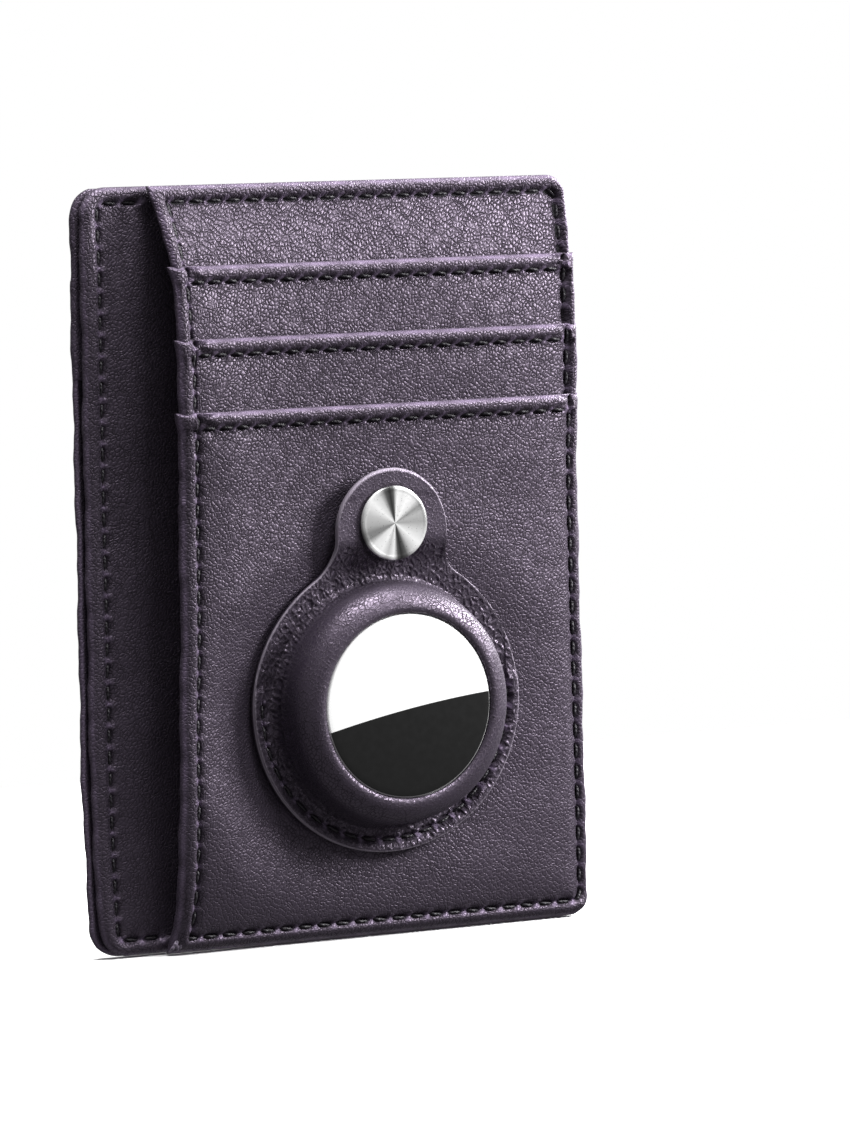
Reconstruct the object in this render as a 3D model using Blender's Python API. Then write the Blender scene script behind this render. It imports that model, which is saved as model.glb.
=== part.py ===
"""A slim leather card wallet with a sewn-on holder that carries a coin-sized tracker tag.

Millimetres inside the functions, metres in the scene. X runs to the wearer's right as seen from
the front, -Y is the front, +Z is up, and the wallet stands on its bottom edge.
"""

import math

import bmesh
import bpy

MM = 0.001

# The whole wallet
WIDTH = 77.6
HEIGHT = 107.0
CORNER_RADIUS = 4.0
RIGHT = WIDTH / 2
LEFT = -RIGHT
CREASE_Y = 3.442                        # plane between the two halves; it centres the whole depth on Y = 0
STRIP_WIDTH = 10.8                      # of the back half left bare beside the front group
FRONT_LEFT = LEFT + STRIP_WIDTH         # free edge of the front group
SLOT_EDGES = (95.8, 85.7, 75.6)         # top edges of the three card pockets
BACK_SLOT_EDGE = 94.4
SEAM_INSET = 2.2                        # stitch line to edge
THREAD_WIDTH = 0.6
THREAD_THICK = 0.3
THREAD_GAP = 0.3

# Leather sheets: front face's distance from the mid plane at the sewn edge and inside it, and thickness
LINING = {"edge": 0.50, "inner": 0.50, "thick": 0.35, "puff": 0.6}
FRONT_BASE = {"edge": 1.12, "inner": 1.12, "thick": 0.50, "puff": 0.8}
UPPER_POCKET = {"edge": 1.69, "inner": 1.69, "thick": 0.45, "puff": 1.0}
MIDDLE_POCKET = {"edge": 1.69, "inner": 2.26, "thick": 0.45, "puff": 1.2}
FRONT_PANEL = {"edge": 2.04, "inner": 3.18, "thick": 0.80, "puff": 1.85}
PINCH_WIDTH = 3.6                       # the seam draws the sheets together over this much
HIDDEN_INSET = 4.4                      # a covered sheet stops this far inside the seams
PUFF_POWER = 6
END_POWER = 5                           # how sharply the puff falls off towards the top and bottom
FREE_EDGE_LIFT = 4.6                    # extra gape of the front group's free edge
FREE_EDGE_POWER = 5

# Back half, measured the other way
INNER_PANEL = {"near": 0.15, "thick": 0.80, "puff": 0.2}
BACK_BASE = {"near": 1.10, "thick": 0.60, "puff": 0.6}
BACK_POCKET = {"near": 1.86, "edge": 1.10, "thick": 0.80, "puff": 1.5}
WINDOW_X = (-27.0, 27.0)
WINDOW_Z = (11.0, 84.0)
WINDOW_RADIUS = 4.0
FILM_MARGIN = 3.0
FILM_THICK = 0.20
FILM_GAP = 0.15

# Holder and tag, on an axis square to the front
TAG_X = 5.4
TAG_Z = 33.2
DENT_FLAT = 12.5                        # the tag presses the panel flat inside this radius
DENT_END = 18.6
SNAP_Z = 58.8
FLANGE_RADIUS = 21.3
HOLDER_LIFT = 0.3
HOLDER_THICK = 1.0
LIP_FRONT = 6.4
TAB_HALF_WIDTH = 8.8
TAB_TOP = 7.8                           # above the snap's centre
TAB_RAISE = 1.1                         # over the flange, to clear the snap
NECK_RADIUS = 6.0
CUT_GAP = 0.3                           # between the sewn and the free half of the holder
TAG_BACK = -1.7
TAG_RADIUS = 15.95
TAG_THICK = 8.0
CELL_RADIUS = 10.0
CELL_THICK = 3.2
ROUND_STEPS = 32


def clear_scene():
    for old in list(bpy.data.objects):
        bpy.data.objects.remove(old, do_unlink=True)


def smooth_step(low, high, value):
    t = min(1.0, max(0.0, (value - low) / (high - low)))
    return t * t * (3 - 2 * t)


# ---------------------------------------------------------------- materials

def material(name, colour, roughness, metallic=0.0, alpha=1.0):
    made = bpy.data.materials.get(name)
    if made is None:
        made = bpy.data.materials.new(name)
        made.use_nodes = True
        shader = made.node_tree.nodes["Principled BSDF"]
        shader.inputs["Base Color"].default_value = (*colour, 1.0)
        shader.inputs["Roughness"].default_value = roughness
        shader.inputs["Metallic"].default_value = metallic
        shader.inputs["Alpha"].default_value = alpha
        made.diffuse_color = (*colour, alpha)
    return made


def leather():
    return material("leather", (0.070, 0.058, 0.075), 0.55)


def leather_dark():
    return material("leather_dark", (0.040, 0.034, 0.044), 0.60)


def lining_cloth():
    return material("lining_cloth", (0.022, 0.020, 0.026), 0.85)


def thread():
    return material("thread", (0.018, 0.015, 0.020), 0.65)


def clear_film():
    return material("clear_film", (0.90, 0.92, 0.93), 0.08, alpha=0.3)


def brushed_steel():
    return material("brushed_steel", (0.62, 0.62, 0.63), 0.28, 1.0)


def steel():
    return material("steel", (0.55, 0.55, 0.56), 0.35, 1.0)


def white_plastic():
    return material("white_plastic", (0.86, 0.86, 0.86), 0.22)


def polished_cover():
    return material("polished_cover", (0.80, 0.80, 0.81), 0.12, 1.0)


def dark_plastic():
    return material("dark_plastic", (0.030, 0.030, 0.032), 0.45)


def board_green():
    return material("circuit_board", (0.015, 0.09, 0.05), 0.45)


def copper():
    return material("copper", (0.72, 0.36, 0.20), 0.35, 1.0)


# ---------------------------------------------------------------- mesh helpers

def add_object(name, points, faces, finish, pivot=None):
    """One closed solid from points in millimetres; a moving piece hangs from its pivot empty."""
    origin = tuple(c / MM for c in pivot.location) if pivot else (0.0, 0.0, 0.0)
    mesh = bpy.data.meshes.new(name)
    local = [tuple((p - o) * MM for p, o in zip(point, origin)) for point in points]
    mesh.from_pydata(local, [], faces)
    work = bmesh.new()
    work.from_mesh(mesh)
    bmesh.ops.recalc_face_normals(work, faces=work.faces)
    work.to_mesh(mesh)
    work.free()
    mesh.materials.append(finish)
    mesh.shade_smooth()
    mesh.set_sharp_from_angle(angle=math.radians(40))
    made = bpy.data.objects.new(name, mesh)
    bpy.context.collection.objects.link(made)
    made.parent = pivot
    return made


def pivot_at(name, x, y, z):
    empty = bpy.data.objects.new(name, None)
    empty.location = (x * MM, y * MM, z * MM)
    bpy.context.collection.objects.link(empty)
    bpy.context.view_layer.update()
    return empty


def boolean(target, tool, operation, keep_tool=False):
    """Applies one exact Boolean and drops the tool."""
    modifier = target.modifiers.new(operation.lower(), "BOOLEAN")
    modifier.operation = operation
    modifier.solver = "EXACT"
    modifier.object = tool
    bpy.context.view_layer.update()
    graph = bpy.context.evaluated_depsgraph_get()
    result = bpy.data.meshes.new_from_object(target.evaluated_get(graph))
    target.modifiers.remove(modifier)
    target.data = result
    if not keep_tool:
        bpy.data.objects.remove(tool, do_unlink=True)


def shell_faces(rows, columns, offset):
    """Triangles of a grid, all split along the same diagonal."""
    faces = []
    for r in range(rows - 1):
        for c in range(columns - 1):
            a = offset + r * columns + c
            b, d = a + 1, a + columns
            faces += [(a, b, d + 1), (a, d + 1, d)]
    return faces


def sheet(name, grid, face, thick, finish):
    """A thin sheet: grid rows of (x, z) points, face(x, z) the front's y, thick towards +Y."""
    rows, columns = len(grid), len(grid[0])
    front = [(x, face(x, z), z) for row in grid for x, z in row]
    points = front + [(x, y + thick, z) for x, y, z in front]
    count = rows * columns
    faces = shell_faces(rows, columns, 0)
    faces += [tuple(reversed(f)) for f in shell_faces(rows, columns, count)]
    rim = [c for c in range(columns)]
    rim += [r * columns + columns - 1 for r in range(1, rows)]
    rim += [(rows - 1) * columns + c for c in range(columns - 2, -1, -1)]
    rim += [r * columns for r in range(rows - 2, 0, -1)]
    for i, a in enumerate(rim):
        b = rim[(i + 1) % len(rim)]
        faces += [(a, b, b + count), (a, b + count, a + count)]
    return add_object(name, points, faces, finish)


def turned(name, profile, finish, steps=ROUND_STEPS, start=0.0, sweep=math.tau, centre=None, pivot=None,
           warp=None):
    """Revolves a closed (radius, height) outline about the axis through centre; height is towards -Y.

    centre is (x, y of height 0, z). Outline points on the axis become single points.
    """
    centre_x, base_y, centre_z = centre or (TAG_X, PANEL_Y, TAG_Z)
    full = abs(sweep - math.tau) < 1e-6
    stations = steps if full else steps + 1
    points, rings = [], []
    for radius, height in profile:
        ring = []
        for i in range(1 if radius == 0 else stations):
            angle = start + sweep * i / steps
            x = centre_x + radius * math.cos(angle)
            z = centre_z + radius * math.sin(angle)
            lift = warp(x, z, radius) if warp else 0.0
            ring.append(len(points))
            points.append((x, base_y - height - lift, z))
        rings.append(ring)
    faces = []
    for i, ring in enumerate(rings):
        other = rings[(i + 1) % len(rings)]
        for k in range(steps):
            a, b = ring[k % len(ring)], ring[(k + 1) % len(ring)]
            c, d = other[(k + 1) % len(other)], other[k % len(other)]
            corner = [p for n, p in enumerate((a, b, c, d)) if p not in (a, b, c, d)[:n]]
            if len(corner) > 2:
                faces.append(tuple(corner))
    if not full:
        faces.append(tuple(ring[0] for ring in rings))
        faces.append(tuple(ring[-1] for ring in reversed(rings)))
    return add_object(name, points, faces, finish, pivot)


def disc_profile(radius, low, high, inner=0.0):
    return [(inner, low), (radius, low), (radius, high), (inner, high)]


def block(name, centre, size, finish, pivot=None):
    points = [
        tuple(c + s * (n >> axis & 1) - s / 2 for axis, (c, s) in enumerate(zip(centre, size)))
        for n in range(8)
    ]
    faces = [(0, 2, 3, 1), (4, 5, 7, 6), (0, 1, 5, 4), (2, 6, 7, 3), (0, 4, 6, 2), (1, 3, 7, 5)]
    return add_object(name, points, faces, finish, pivot)


def ribbon(name, path, closed, finish, surface, side):
    """A flat thread along (x, z) points, held THREAD_GAP off surface(x, z); side is -1 for the front."""
    points = []
    count = len(path)
    for i, (x, z) in enumerate(path):
        before = path[i - 1] if closed or i else path[i]
        after = path[(i + 1) % count] if closed or i < count - 1 else path[i]
        along_x, along_z = after[0] - before[0], after[1] - before[1]
        length = math.hypot(along_x, along_z)
        across = (-along_z / length * THREAD_WIDTH / 2, along_x / length * THREAD_WIDTH / 2)
        near = surface(x, z) + side * THREAD_GAP
        far = near + side * THREAD_THICK
        points += [(x + across[0], near, z + across[1]), (x - across[0], near, z - across[1]),
                   (x - across[0], far, z - across[1]), (x + across[0], far, z + across[1])]
    faces = []
    for i in range(count if closed else count - 1):
        a, b = 4 * i, 4 * ((i + 1) % count)
        faces += [(a + k, a + (k + 1) % 4, b + (k + 1) % 4, b + k) for k in range(4)]
    if not closed:
        faces += [(0, 1, 2, 3), tuple(4 * (count - 1) + k for k in (3, 2, 1, 0))]
    return add_object(name, points, faces, finish)


# ---------------------------------------------------------------- the wallet's surfaces

def end_fade(z):
    return 1.0 - abs(2 * z / HEIGHT - 1) ** END_POWER


def tag_distance(x, z):
    return math.hypot(x - TAG_X, z - TAG_Z)


def front_y(layer, x, z, dented=True):
    """Front face of one sheet of the front half."""
    u = min(1.0, max(0.0, (x - FRONT_LEFT) / (RIGHT - FRONT_LEFT)))
    spread = smooth_step(0.0, 0.15, u) * (1 - u ** PUFF_POWER)
    puff = LINING["puff"] * (1 - u ** PUFF_POWER) + (layer["puff"] - LINING["puff"]) * spread
    bulge = end_fade(z) * (puff + FREE_EDGE_LIFT * (1 - u) ** FREE_EDGE_POWER)
    if dented:
        bulge *= smooth_step(DENT_FLAT, DENT_END, tag_distance(x, z))
    from_edge = min(x - FRONT_LEFT, RIGHT - x, z)
    offset = layer["edge"] + (layer["inner"] - layer["edge"]) * smooth_step(0, PINCH_WIDTH, from_edge)
    return CREASE_Y - offset - bulge


def back_y(layer, x, z):
    """Near (front) face of one sheet of the back half."""
    u = min(1.0, abs(x) / RIGHT)
    bulge = layer["puff"] * end_fade(z) * (1 - u ** PUFF_POWER)
    edge = layer.get("edge", layer["near"])
    from_edge = min(RIGHT - abs(x), z)
    return CREASE_Y + edge + (layer["near"] - edge) * smooth_step(0, PINCH_WIDTH, from_edge) + bulge


def visible_front(x, z):
    """The outermost leather of the front group."""
    upper, middle, lower = SLOT_EDGES
    layer = FRONT_PANEL
    for edge, shown in ((lower, MIDDLE_POCKET), (middle, UPPER_POCKET), (upper, FRONT_BASE)):
        if z > edge:
            layer = shown
    return front_y(layer, x, z)


def outer_back(x, z):
    layer = BACK_BASE if z > BACK_SLOT_EDGE else BACK_POCKET
    return back_y(layer, x, z) + layer["thick"]


PANEL_Y = front_y(FRONT_PANEL, TAG_X, TAG_Z, dented=False)   # the front panel's face under the holder
LIP_Y = PANEL_Y - LIP_FRONT

EDGE_COLUMNS = (0.0, 1.2, 3.6)
GRID_STEP = 5.6


def corner_cut(z):
    """How far the outline draws in beside a rounded corner."""
    into = CORNER_RADIUS - min(z, HEIGHT - z)
    if into <= 0:
        return 0.0
    return CORNER_RADIUS - math.sqrt(max(0.0, CORNER_RADIUS ** 2 - into ** 2))


def columns_between(left, right, step=GRID_STEP):
    """Fixed inner columns, so that stacked sheets share their facets."""
    low, high = left + HIDDEN_INSET + 2.4, right - HIDDEN_INSET - 2.4
    count = round((high - low) / step)
    return [low + (high - low) * i / count for i in range(count + 1)]


def sheet_row(z, left, right, inset=0.0, round_left=True, step=GRID_STEP):
    """One row of a sheet's grid, squeezed in by inset where another sheet covers it."""
    cut = corner_cut(z)
    room = HIDDEN_INSET + 1.6
    from_left = inset + (cut if round_left else 0.0)
    from_right = inset + cut
    squeeze_left = min(1.0, (room - from_left) / EDGE_COLUMNS[-1])
    squeeze_right = min(1.0, (room - from_right) / EDGE_COLUMNS[-1])
    xs = [left + from_left + c * squeeze_left for c in EDGE_COLUMNS]
    xs += columns_between(left, right, step)
    xs += [right - from_right - c * squeeze_right for c in reversed(EDGE_COLUMNS)]
    return [(x, z) for x in xs]


def row_heights(low, high, step=GRID_STEP):
    """Row heights shared by all sheets, with finer ones at the bottom and top edges."""
    ladder = [0.0, 0.5, 1.6, 3.6] + [3.6 + step * i for i in range(1, 40)]
    top = [HEIGHT - 3.6, HEIGHT - 1.6, HEIGHT - 0.5, HEIGHT]
    ladder = [z for z in ladder if z < top[0] - 1.5] + top
    kept = [z for z in ladder if low + 1.0 < z < high - 1.0]
    if low == 0.0:
        kept = [z for z in ladder if z <= 3.6] + [z for z in kept if z > 3.6]
    else:
        kept = [low] + kept
    if high == HEIGHT:
        kept = [z for z in kept if z < top[0]] + top
    else:
        kept.append(high)
    return kept


# ---------------------------------------------------------------- leather sheets

def build_front_sheet(name, layer, top, covered_below, finish):
    """A sheet of the front group. Below covered_below the next pocket hides it, so it draws in."""
    low = HIDDEN_INSET if covered_below else 0.0
    heights = row_heights(low, top)
    if covered_below:
        heights = [z for z in heights if not covered_below < z < covered_below + 2.4]
        heights = sorted(heights + [covered_below + 0.4, covered_below + 1.4])
    grid = []
    for z in heights:
        inset = HIDDEN_INSET if covered_below and z < covered_below + 1.0 else 0.0
        grid.append(sheet_row(z, FRONT_LEFT, RIGHT, inset, round_left=False))
    return sheet(name, grid, lambda x, z: front_y(layer, x, z), layer["thick"], finish)


def build_front_group():
    upper, middle, lower = SLOT_EDGES
    build_front_sheet("front_lining", LINING, HEIGHT, 0.0, lining_cloth())
    build_front_sheet("front_base_panel", FRONT_BASE, HEIGHT, 0.0, leather())
    build_front_sheet("upper_card_pocket", UPPER_POCKET, upper, middle, leather())
    build_front_sheet("middle_card_pocket", MIDDLE_POCKET, middle, lower, leather())
    panel = build_front_sheet("front_panel", FRONT_PANEL, lower, 0.0, leather())
    hole = turned("post_hole", disc_profile(1.3, -6.0, 6.0), leather(), steps=12,
                  centre=(TAG_X, PANEL_Y, SNAP_Z))
    boolean(panel, hole, "DIFFERENCE")


def back_grid(top, inset=0.0):
    step = 10.4
    heights = row_heights(HIDDEN_INSET if inset else 0.0, top, step)
    if inset:
        heights = [z for z in heights if not BACK_SLOT_EDGE - 1.0 < z < BACK_SLOT_EDGE + 2.4]
        heights = sorted(heights + [BACK_SLOT_EDGE + 0.4, BACK_SLOT_EDGE + 1.6])
    grid = []
    for z in heights:
        covered = inset if z < BACK_SLOT_EDGE + 1.0 else 0.0
        grid.append(sheet_row(z, LEFT, RIGHT, covered, step=step))
    return grid


def build_inner_panel():
    layer = INNER_PANEL
    sheet("inner_panel", back_grid(HEIGHT), lambda x, z: back_y(layer, x, z), layer["thick"], leather_dark())


def build_back_base_panel():
    layer = BACK_BASE
    grid = back_grid(HEIGHT, HIDDEN_INSET)
    sheet("back_base_panel", grid, lambda x, z: back_y(layer, x, z), layer["thick"], leather())


def rounded_rectangle(x_range, z_range, radius, corner_steps=4):
    """Corner points of a rounded rectangle, anticlockwise seen from the front."""
    path = []
    corners = ((x_range[1] - radius, z_range[1] - radius), (x_range[0] + radius, z_range[1] - radius),
               (x_range[0] + radius, z_range[0] + radius), (x_range[1] - radius, z_range[0] + radius))
    for quarter, (x, z) in enumerate(corners):
        for i in range(corner_steps + 1):
            angle = math.pi / 2 * (quarter + i / corner_steps)
            path.append((x + radius * math.cos(angle), z + radius * math.sin(angle)))
    return path


def prism(name, outline, y_range, finish):
    """A straight-sided cutter along Y."""
    count = len(outline)
    points = [(x, y, z) for y in y_range for x, z in outline]
    faces = [tuple(range(count)), tuple(range(2 * count - 1, count - 1, -1))]
    faces += [(i, i + count, (i + 1) % count + count, (i + 1) % count) for i in range(count)]
    return add_object(name, points, faces, finish)


def build_back_pocket():
    layer = BACK_POCKET
    panel = sheet("back_pocket_panel", back_grid(BACK_SLOT_EDGE), lambda x, z: back_y(layer, x, z),
                  layer["thick"], leather())
    window = prism("window_cutter", rounded_rectangle(WINDOW_X, WINDOW_Z, WINDOW_RADIUS),
                   (CREASE_Y, CREASE_Y + 12.0), leather())
    boolean(panel, window, "DIFFERENCE")


def build_window_film():
    """Clear sheet behind the window, sewn in round its border."""
    low, high = WINDOW_Z[0] - FILM_MARGIN, WINDOW_Z[1] + FILM_MARGIN
    left, right = WINDOW_X[0] - FILM_MARGIN, WINDOW_X[1] + FILM_MARGIN
    columns, rows = 9, 9
    grid = [[(left + (right - left) * c / (columns - 1), low + (high - low) * r / (rows - 1))
             for c in range(columns)] for r in range(rows)]
    sheet("id_window_film", grid, lambda x, z: back_y(BACK_POCKET, x, z) - FILM_GAP - FILM_THICK - 0.1,
          FILM_THICK, clear_film())


# ---------------------------------------------------------------- threads

def run_points(start, end, step=7.0):
    count = max(1, round(math.dist(start, end) / step))
    return [tuple(a + (b - a) * i / count for a, b in zip(start, end)) for i in range(count + 1)]


def seam_loop(left, right, bottom, top):
    """A closed seam with a point on each side of every slot edge it crosses."""
    loop = rounded_rectangle((left, right), (bottom, top), CORNER_RADIUS - 1.0, corner_steps=2)
    marks = sorted(edge + side for edge in (*SLOT_EDGES, BACK_SLOT_EDGE) for side in (-0.35, 0.35))
    path = []
    for a, b in zip(loop, loop[1:] + loop[:1]):
        crossed = []
        if abs(a[0] - b[0]) < 0.01:
            stops = [a[1], *(m for m in (marks if b[1] > a[1] else marks[::-1])
                             if min(a[1], b[1]) < m < max(a[1], b[1])), b[1]]
            for low, high in zip(stops, stops[1:]):
                crossed += run_points((a[0], low), (a[0], high), 8.0)[:-1]
        else:
            crossed = run_points(a, b, 8.0)[:-1]
        path += crossed
    return path


def build_seam_threads():
    inset = SEAM_INSET
    ribbon("front_seam_thread", seam_loop(FRONT_LEFT + inset, RIGHT - inset, inset, HEIGHT - inset), True,
           thread(), visible_front, -1)
    ribbon("back_seam_thread", seam_loop(LEFT + inset, RIGHT - inset, inset, HEIGHT - inset), True,
           thread(), outer_back, 1)
    edge_x, stop_x = LEFT + inset, FRONT_LEFT - 1.0
    path = run_points((stop_x, HEIGHT - inset), (edge_x, HEIGHT - inset), 3.0)
    path += run_points((edge_x, HEIGHT - inset), (edge_x, inset), 9.0)[1:]
    path += run_points((edge_x, inset), (stop_x, inset), 3.0)[1:]
    ribbon("left_seam_thread", path, False, thread(), lambda x, z: back_y(INNER_PANEL, x, z), -1)


def build_slot_threads():
    clear = SEAM_INSET + 1.2
    for name, edge in zip(("upper", "middle", "lower"), SLOT_EDGES):
        z = edge - SEAM_INSET
        path = run_points((FRONT_LEFT + clear, z), (RIGHT - clear, z), GRID_STEP)
        ribbon(f"{name}_slot_thread", path, False, thread(), visible_front, -1)
    z = BACK_SLOT_EDGE - SEAM_INSET
    path = run_points((LEFT + clear, z), (RIGHT - clear, z), 9.0)
    ribbon("back_slot_thread", path, False, thread(), outer_back, 1)


def build_window_thread():
    out = SEAM_INSET * 0.7
    loop = rounded_rectangle((WINDOW_X[0] - out, WINDOW_X[1] + out), (WINDOW_Z[0] - out, WINDOW_Z[1] + out),
                             WINDOW_RADIUS + out, corner_steps=3)
    path = []
    for a, b in zip(loop, loop[1:] + loop[:1]):
        path += run_points(a, b, 9.0)[:-1]
    ribbon("window_thread", path, True, thread(), outer_back, 1)


# ---------------------------------------------------------------- tag holder

def holder_warp(x, z, radius):
    """The flange follows the swell of the panel; the moulded dome stays true."""
    follow = smooth_step(TAG_RADIUS + 0.9, TAG_RADIUS + 2.6, radius)
    return follow * (PANEL_Y - front_y(FRONT_PANEL, x, z, dented=False))


def holder_profile():
    """Moulded leather: flat flange, steep wall, rolled lip round the opening."""
    lift, thick = HOLDER_LIFT, HOLDER_THICK
    return [(16.3, lift), (18.0, lift), (FLANGE_RADIUS, lift), (FLANGE_RADIUS, lift + thick),
            (18.4, lift + thick), (17.6, 1.8), (17.35, 2.8), (16.9, 4.2), (15.8, 5.6), (14.4, 6.35),
            (13.5, LIP_FRONT), (13.1, 6.05), (13.1, 5.65), (13.9, 5.45), (15.0, 4.75), (15.9, 3.75),
            (16.3, 2.6)]


def tab_half_width(z):
    """Half width of the tab, with a hollow neck where it runs into the round flange."""
    rise = z - (SNAP_Z + TAB_TOP - TAB_HALF_WIDTH)
    if rise > 0:
        return math.sqrt(max(0.0, TAB_HALF_WIDTH ** 2 - rise ** 2))
    neck_x = TAB_HALF_WIDTH + NECK_RADIUS
    reach = FLANGE_RADIUS + NECK_RADIUS
    neck_rise = math.sqrt(reach ** 2 - neck_x ** 2)
    if z < TAG_Z + neck_rise * FLANGE_RADIUS / reach:
        return math.sqrt(FLANGE_RADIUS ** 2 - (z - TAG_Z) ** 2) - 0.15
    drop = max(0.0, TAG_Z + neck_rise - z)
    return neck_x - math.sqrt(NECK_RADIUS ** 2 - drop ** 2)


def tab_y(x, z):
    raised = TAB_RAISE * smooth_step(TAG_Z + 19.0, TAG_Z + 22.5, z)
    return front_y(FRONT_PANEL, x, z, dented=False) - HOLDER_LIFT - HOLDER_THICK - 0.04 - raised


def build_holder():
    lower_start = math.pi + CUT_GAP / 2 / FLANGE_RADIUS
    sweep = math.pi - CUT_GAP / FLANGE_RADIUS
    turned("holder_lower", holder_profile(), leather(), steps=24, start=lower_start, sweep=sweep,
           warp=holder_warp)
    upper = turned("holder_upper", holder_profile(), leather(), steps=24,
                   start=lower_start - math.pi, sweep=sweep, warp=holder_warp)
    low, high = TAG_Z + 17.9, SNAP_Z + TAB_TOP
    cap_centre = high - TAB_HALF_WIDTH
    heights = [low + (cap_centre - low) * i / 8 for i in range(9)]
    heights += [cap_centre + TAB_HALF_WIDTH * math.sin(math.radians(a)) for a in (15, 30, 45, 60, 74, 85)]
    across = (-1.0, -0.75, -0.45, 0.0, 0.45, 0.75, 1.0)
    grid = []
    for z in heights:
        half = tab_half_width(z)
        grid.append([(TAG_X + half * a, z) for a in across])
    tab = sheet("tab_tool", grid, tab_y, HOLDER_THICK + 0.07, leather())
    boolean(upper, tab, "UNION")
    return upper


def build_holder_thread():
    radius = FLANGE_RADIUS - 1.3
    steps = 26
    path = [(TAG_X + radius * math.cos(a), TAG_Z + radius * math.sin(a))
            for a in (math.pi + 0.06 + (math.pi - 0.12) * i / steps for i in range(steps + 1))]
    surface = lambda x, z: front_y(FRONT_PANEL, x, z, dented=False) - HOLDER_LIFT - HOLDER_THICK - 0.1
    ribbon("holder_thread", path, False, thread(), surface, -1)


def build_snap(pivot):
    """Stud riveted through the front panel; socket, ring spring and cap ride on the tab."""
    centre = (TAG_X, front_y(FRONT_PANEL, TAG_X, SNAP_Z), SNAP_Z)
    under = HOLDER_LIFT + TAB_RAISE
    stud = [(0, 0.15), (3.6, 0.15), (3.6, 0.35), (1.5, 0.4), (1.45, 0.55), (1.8, 0.75), (1.5, 0.95), (0, 1.02)]
    turned("snap_stud", stud, steel(), steps=20, centre=centre)
    back = -FRONT_PANEL["thick"]
    post = [(0, back - 0.42), (2.5, back - 0.42), (2.5, back - 0.18), (0.95, back - 0.18), (0.95, 0.0), (0, 0.0)]
    turned("snap_post", post, steel(), steps=16, centre=centre)
    socket = [(3.1, 0.5), (4.2, 0.5), (4.35, 0.65), (4.35, under - 0.35), (2.4, under - 0.35),
              (2.4, under - 0.5), (3.1, under - 0.5)]
    turned("snap_socket", socket, steel(), steps=20, centre=centre, pivot=pivot)
    spring = disc_profile(2.9, 0.52, 0.74, inner=2.4)
    turned("snap_ring_spring", spring, copper(), steps=20, centre=centre, pivot=pivot)
    top = under + HOLDER_THICK + 0.15
    cap = [(0, top + 0.15), (5.2, top + 0.15), (5.25, top + 0.35), (5.05, top + 0.62), (4.0, top + 0.72),
           (0, top + 0.78)]
    turned("snap_cap", cap, brushed_steel(), steps=ROUND_STEPS, centre=centre, pivot=pivot)


# ---------------------------------------------------------------- tag

def build_tag_shell(pivot):
    outline = [(0, TAG_BACK), (8.0, -1.5), (12.0, -1.1), (14.2, -0.5), (15.3, 0.1), (TAG_RADIUS, 1.1),
               (TAG_RADIUS, 2.4), (15.55, 3.4), (14.7, 4.3), (13.7, 4.95), (13.3, 5.15), (12.95, 5.15),
               (12.95, 4.7), (12.5, 4.7), (12.5, 4.2), (13.5, 4.2), (14.6, 2.9), (15.0, 2.2), (15.0, 1.3),
               (14.2, 0.5), (11.5, -0.3), (8.0, -0.7), (0, -0.9)]
    turned("tag_shell", outline, white_plastic(), pivot=pivot)


def build_tag_board(pivot):
    turned("tag_circuit_board", disc_profile(12.2, 0.1, 0.7, inner=6.2), board_green(), pivot=pivot)
    chips = {"tag_radio_chip": (75.0, 3.6, 3.6), "tag_locator_chip": (190.0, 3.2, 2.6),
             "tag_memory_chip": (300.0, 2.6, 2.0)}
    for name, (degrees, wide, tall) in chips.items():
        angle = math.radians(degrees)
        x, z = TAG_X + 8.6 * math.cos(angle), TAG_Z + 8.6 * math.sin(angle)
        block(name, (x, PANEL_Y + 0.2, z), (wide, 0.4, tall), dark_plastic(), pivot)


def build_tag_speaker(pivot):
    turned("tag_speaker_magnet", disc_profile(3.4, -0.6, 0.6), steel(), steps=24, pivot=pivot)
    turned("tag_speaker_coil", disc_profile(5.2, -0.55, 0.3, inner=3.9), copper(), steps=24, pivot=pivot)


def build_tag_tray(pivot):
    """Cup that carries the coin cell above the board."""
    cup = [(0, 0.9), (11.5, 0.9), (11.5, 4.4), (10.7, 4.4), (10.7, 1.3), (0, 1.3)]
    turned("tag_inner_tray", cup, dark_plastic(), pivot=pivot)


def build_tag_cell(pivot):
    low = 1.9
    high = low + CELL_THICK
    cell = [(0, low), (8.6, low), (8.9, low + 0.35), (CELL_RADIUS - 0.2, low + 0.35), (CELL_RADIUS, low + 0.6),
            (CELL_RADIUS, high - 0.15), (CELL_RADIUS - 0.15, high), (0, high)]
    turned("tag_coin_cell", cell, steel(), pivot=pivot)


def build_tag_contacts(pivot):
    """Two leaf springs under the cell and one at its side."""
    for name, offset in (("tag_negative_contact_left", -3.6), ("tag_negative_contact_right", 3.6)):
        block(name, (TAG_X + offset, PANEL_Y - 1.6, TAG_Z), (1.6, 0.2, 6.0), copper(), pivot)
    block("tag_positive_contact", (TAG_X, PANEL_Y - 3.1, TAG_Z + 10.35), (3.0, 1.8, 0.25), copper(), pivot)


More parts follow.
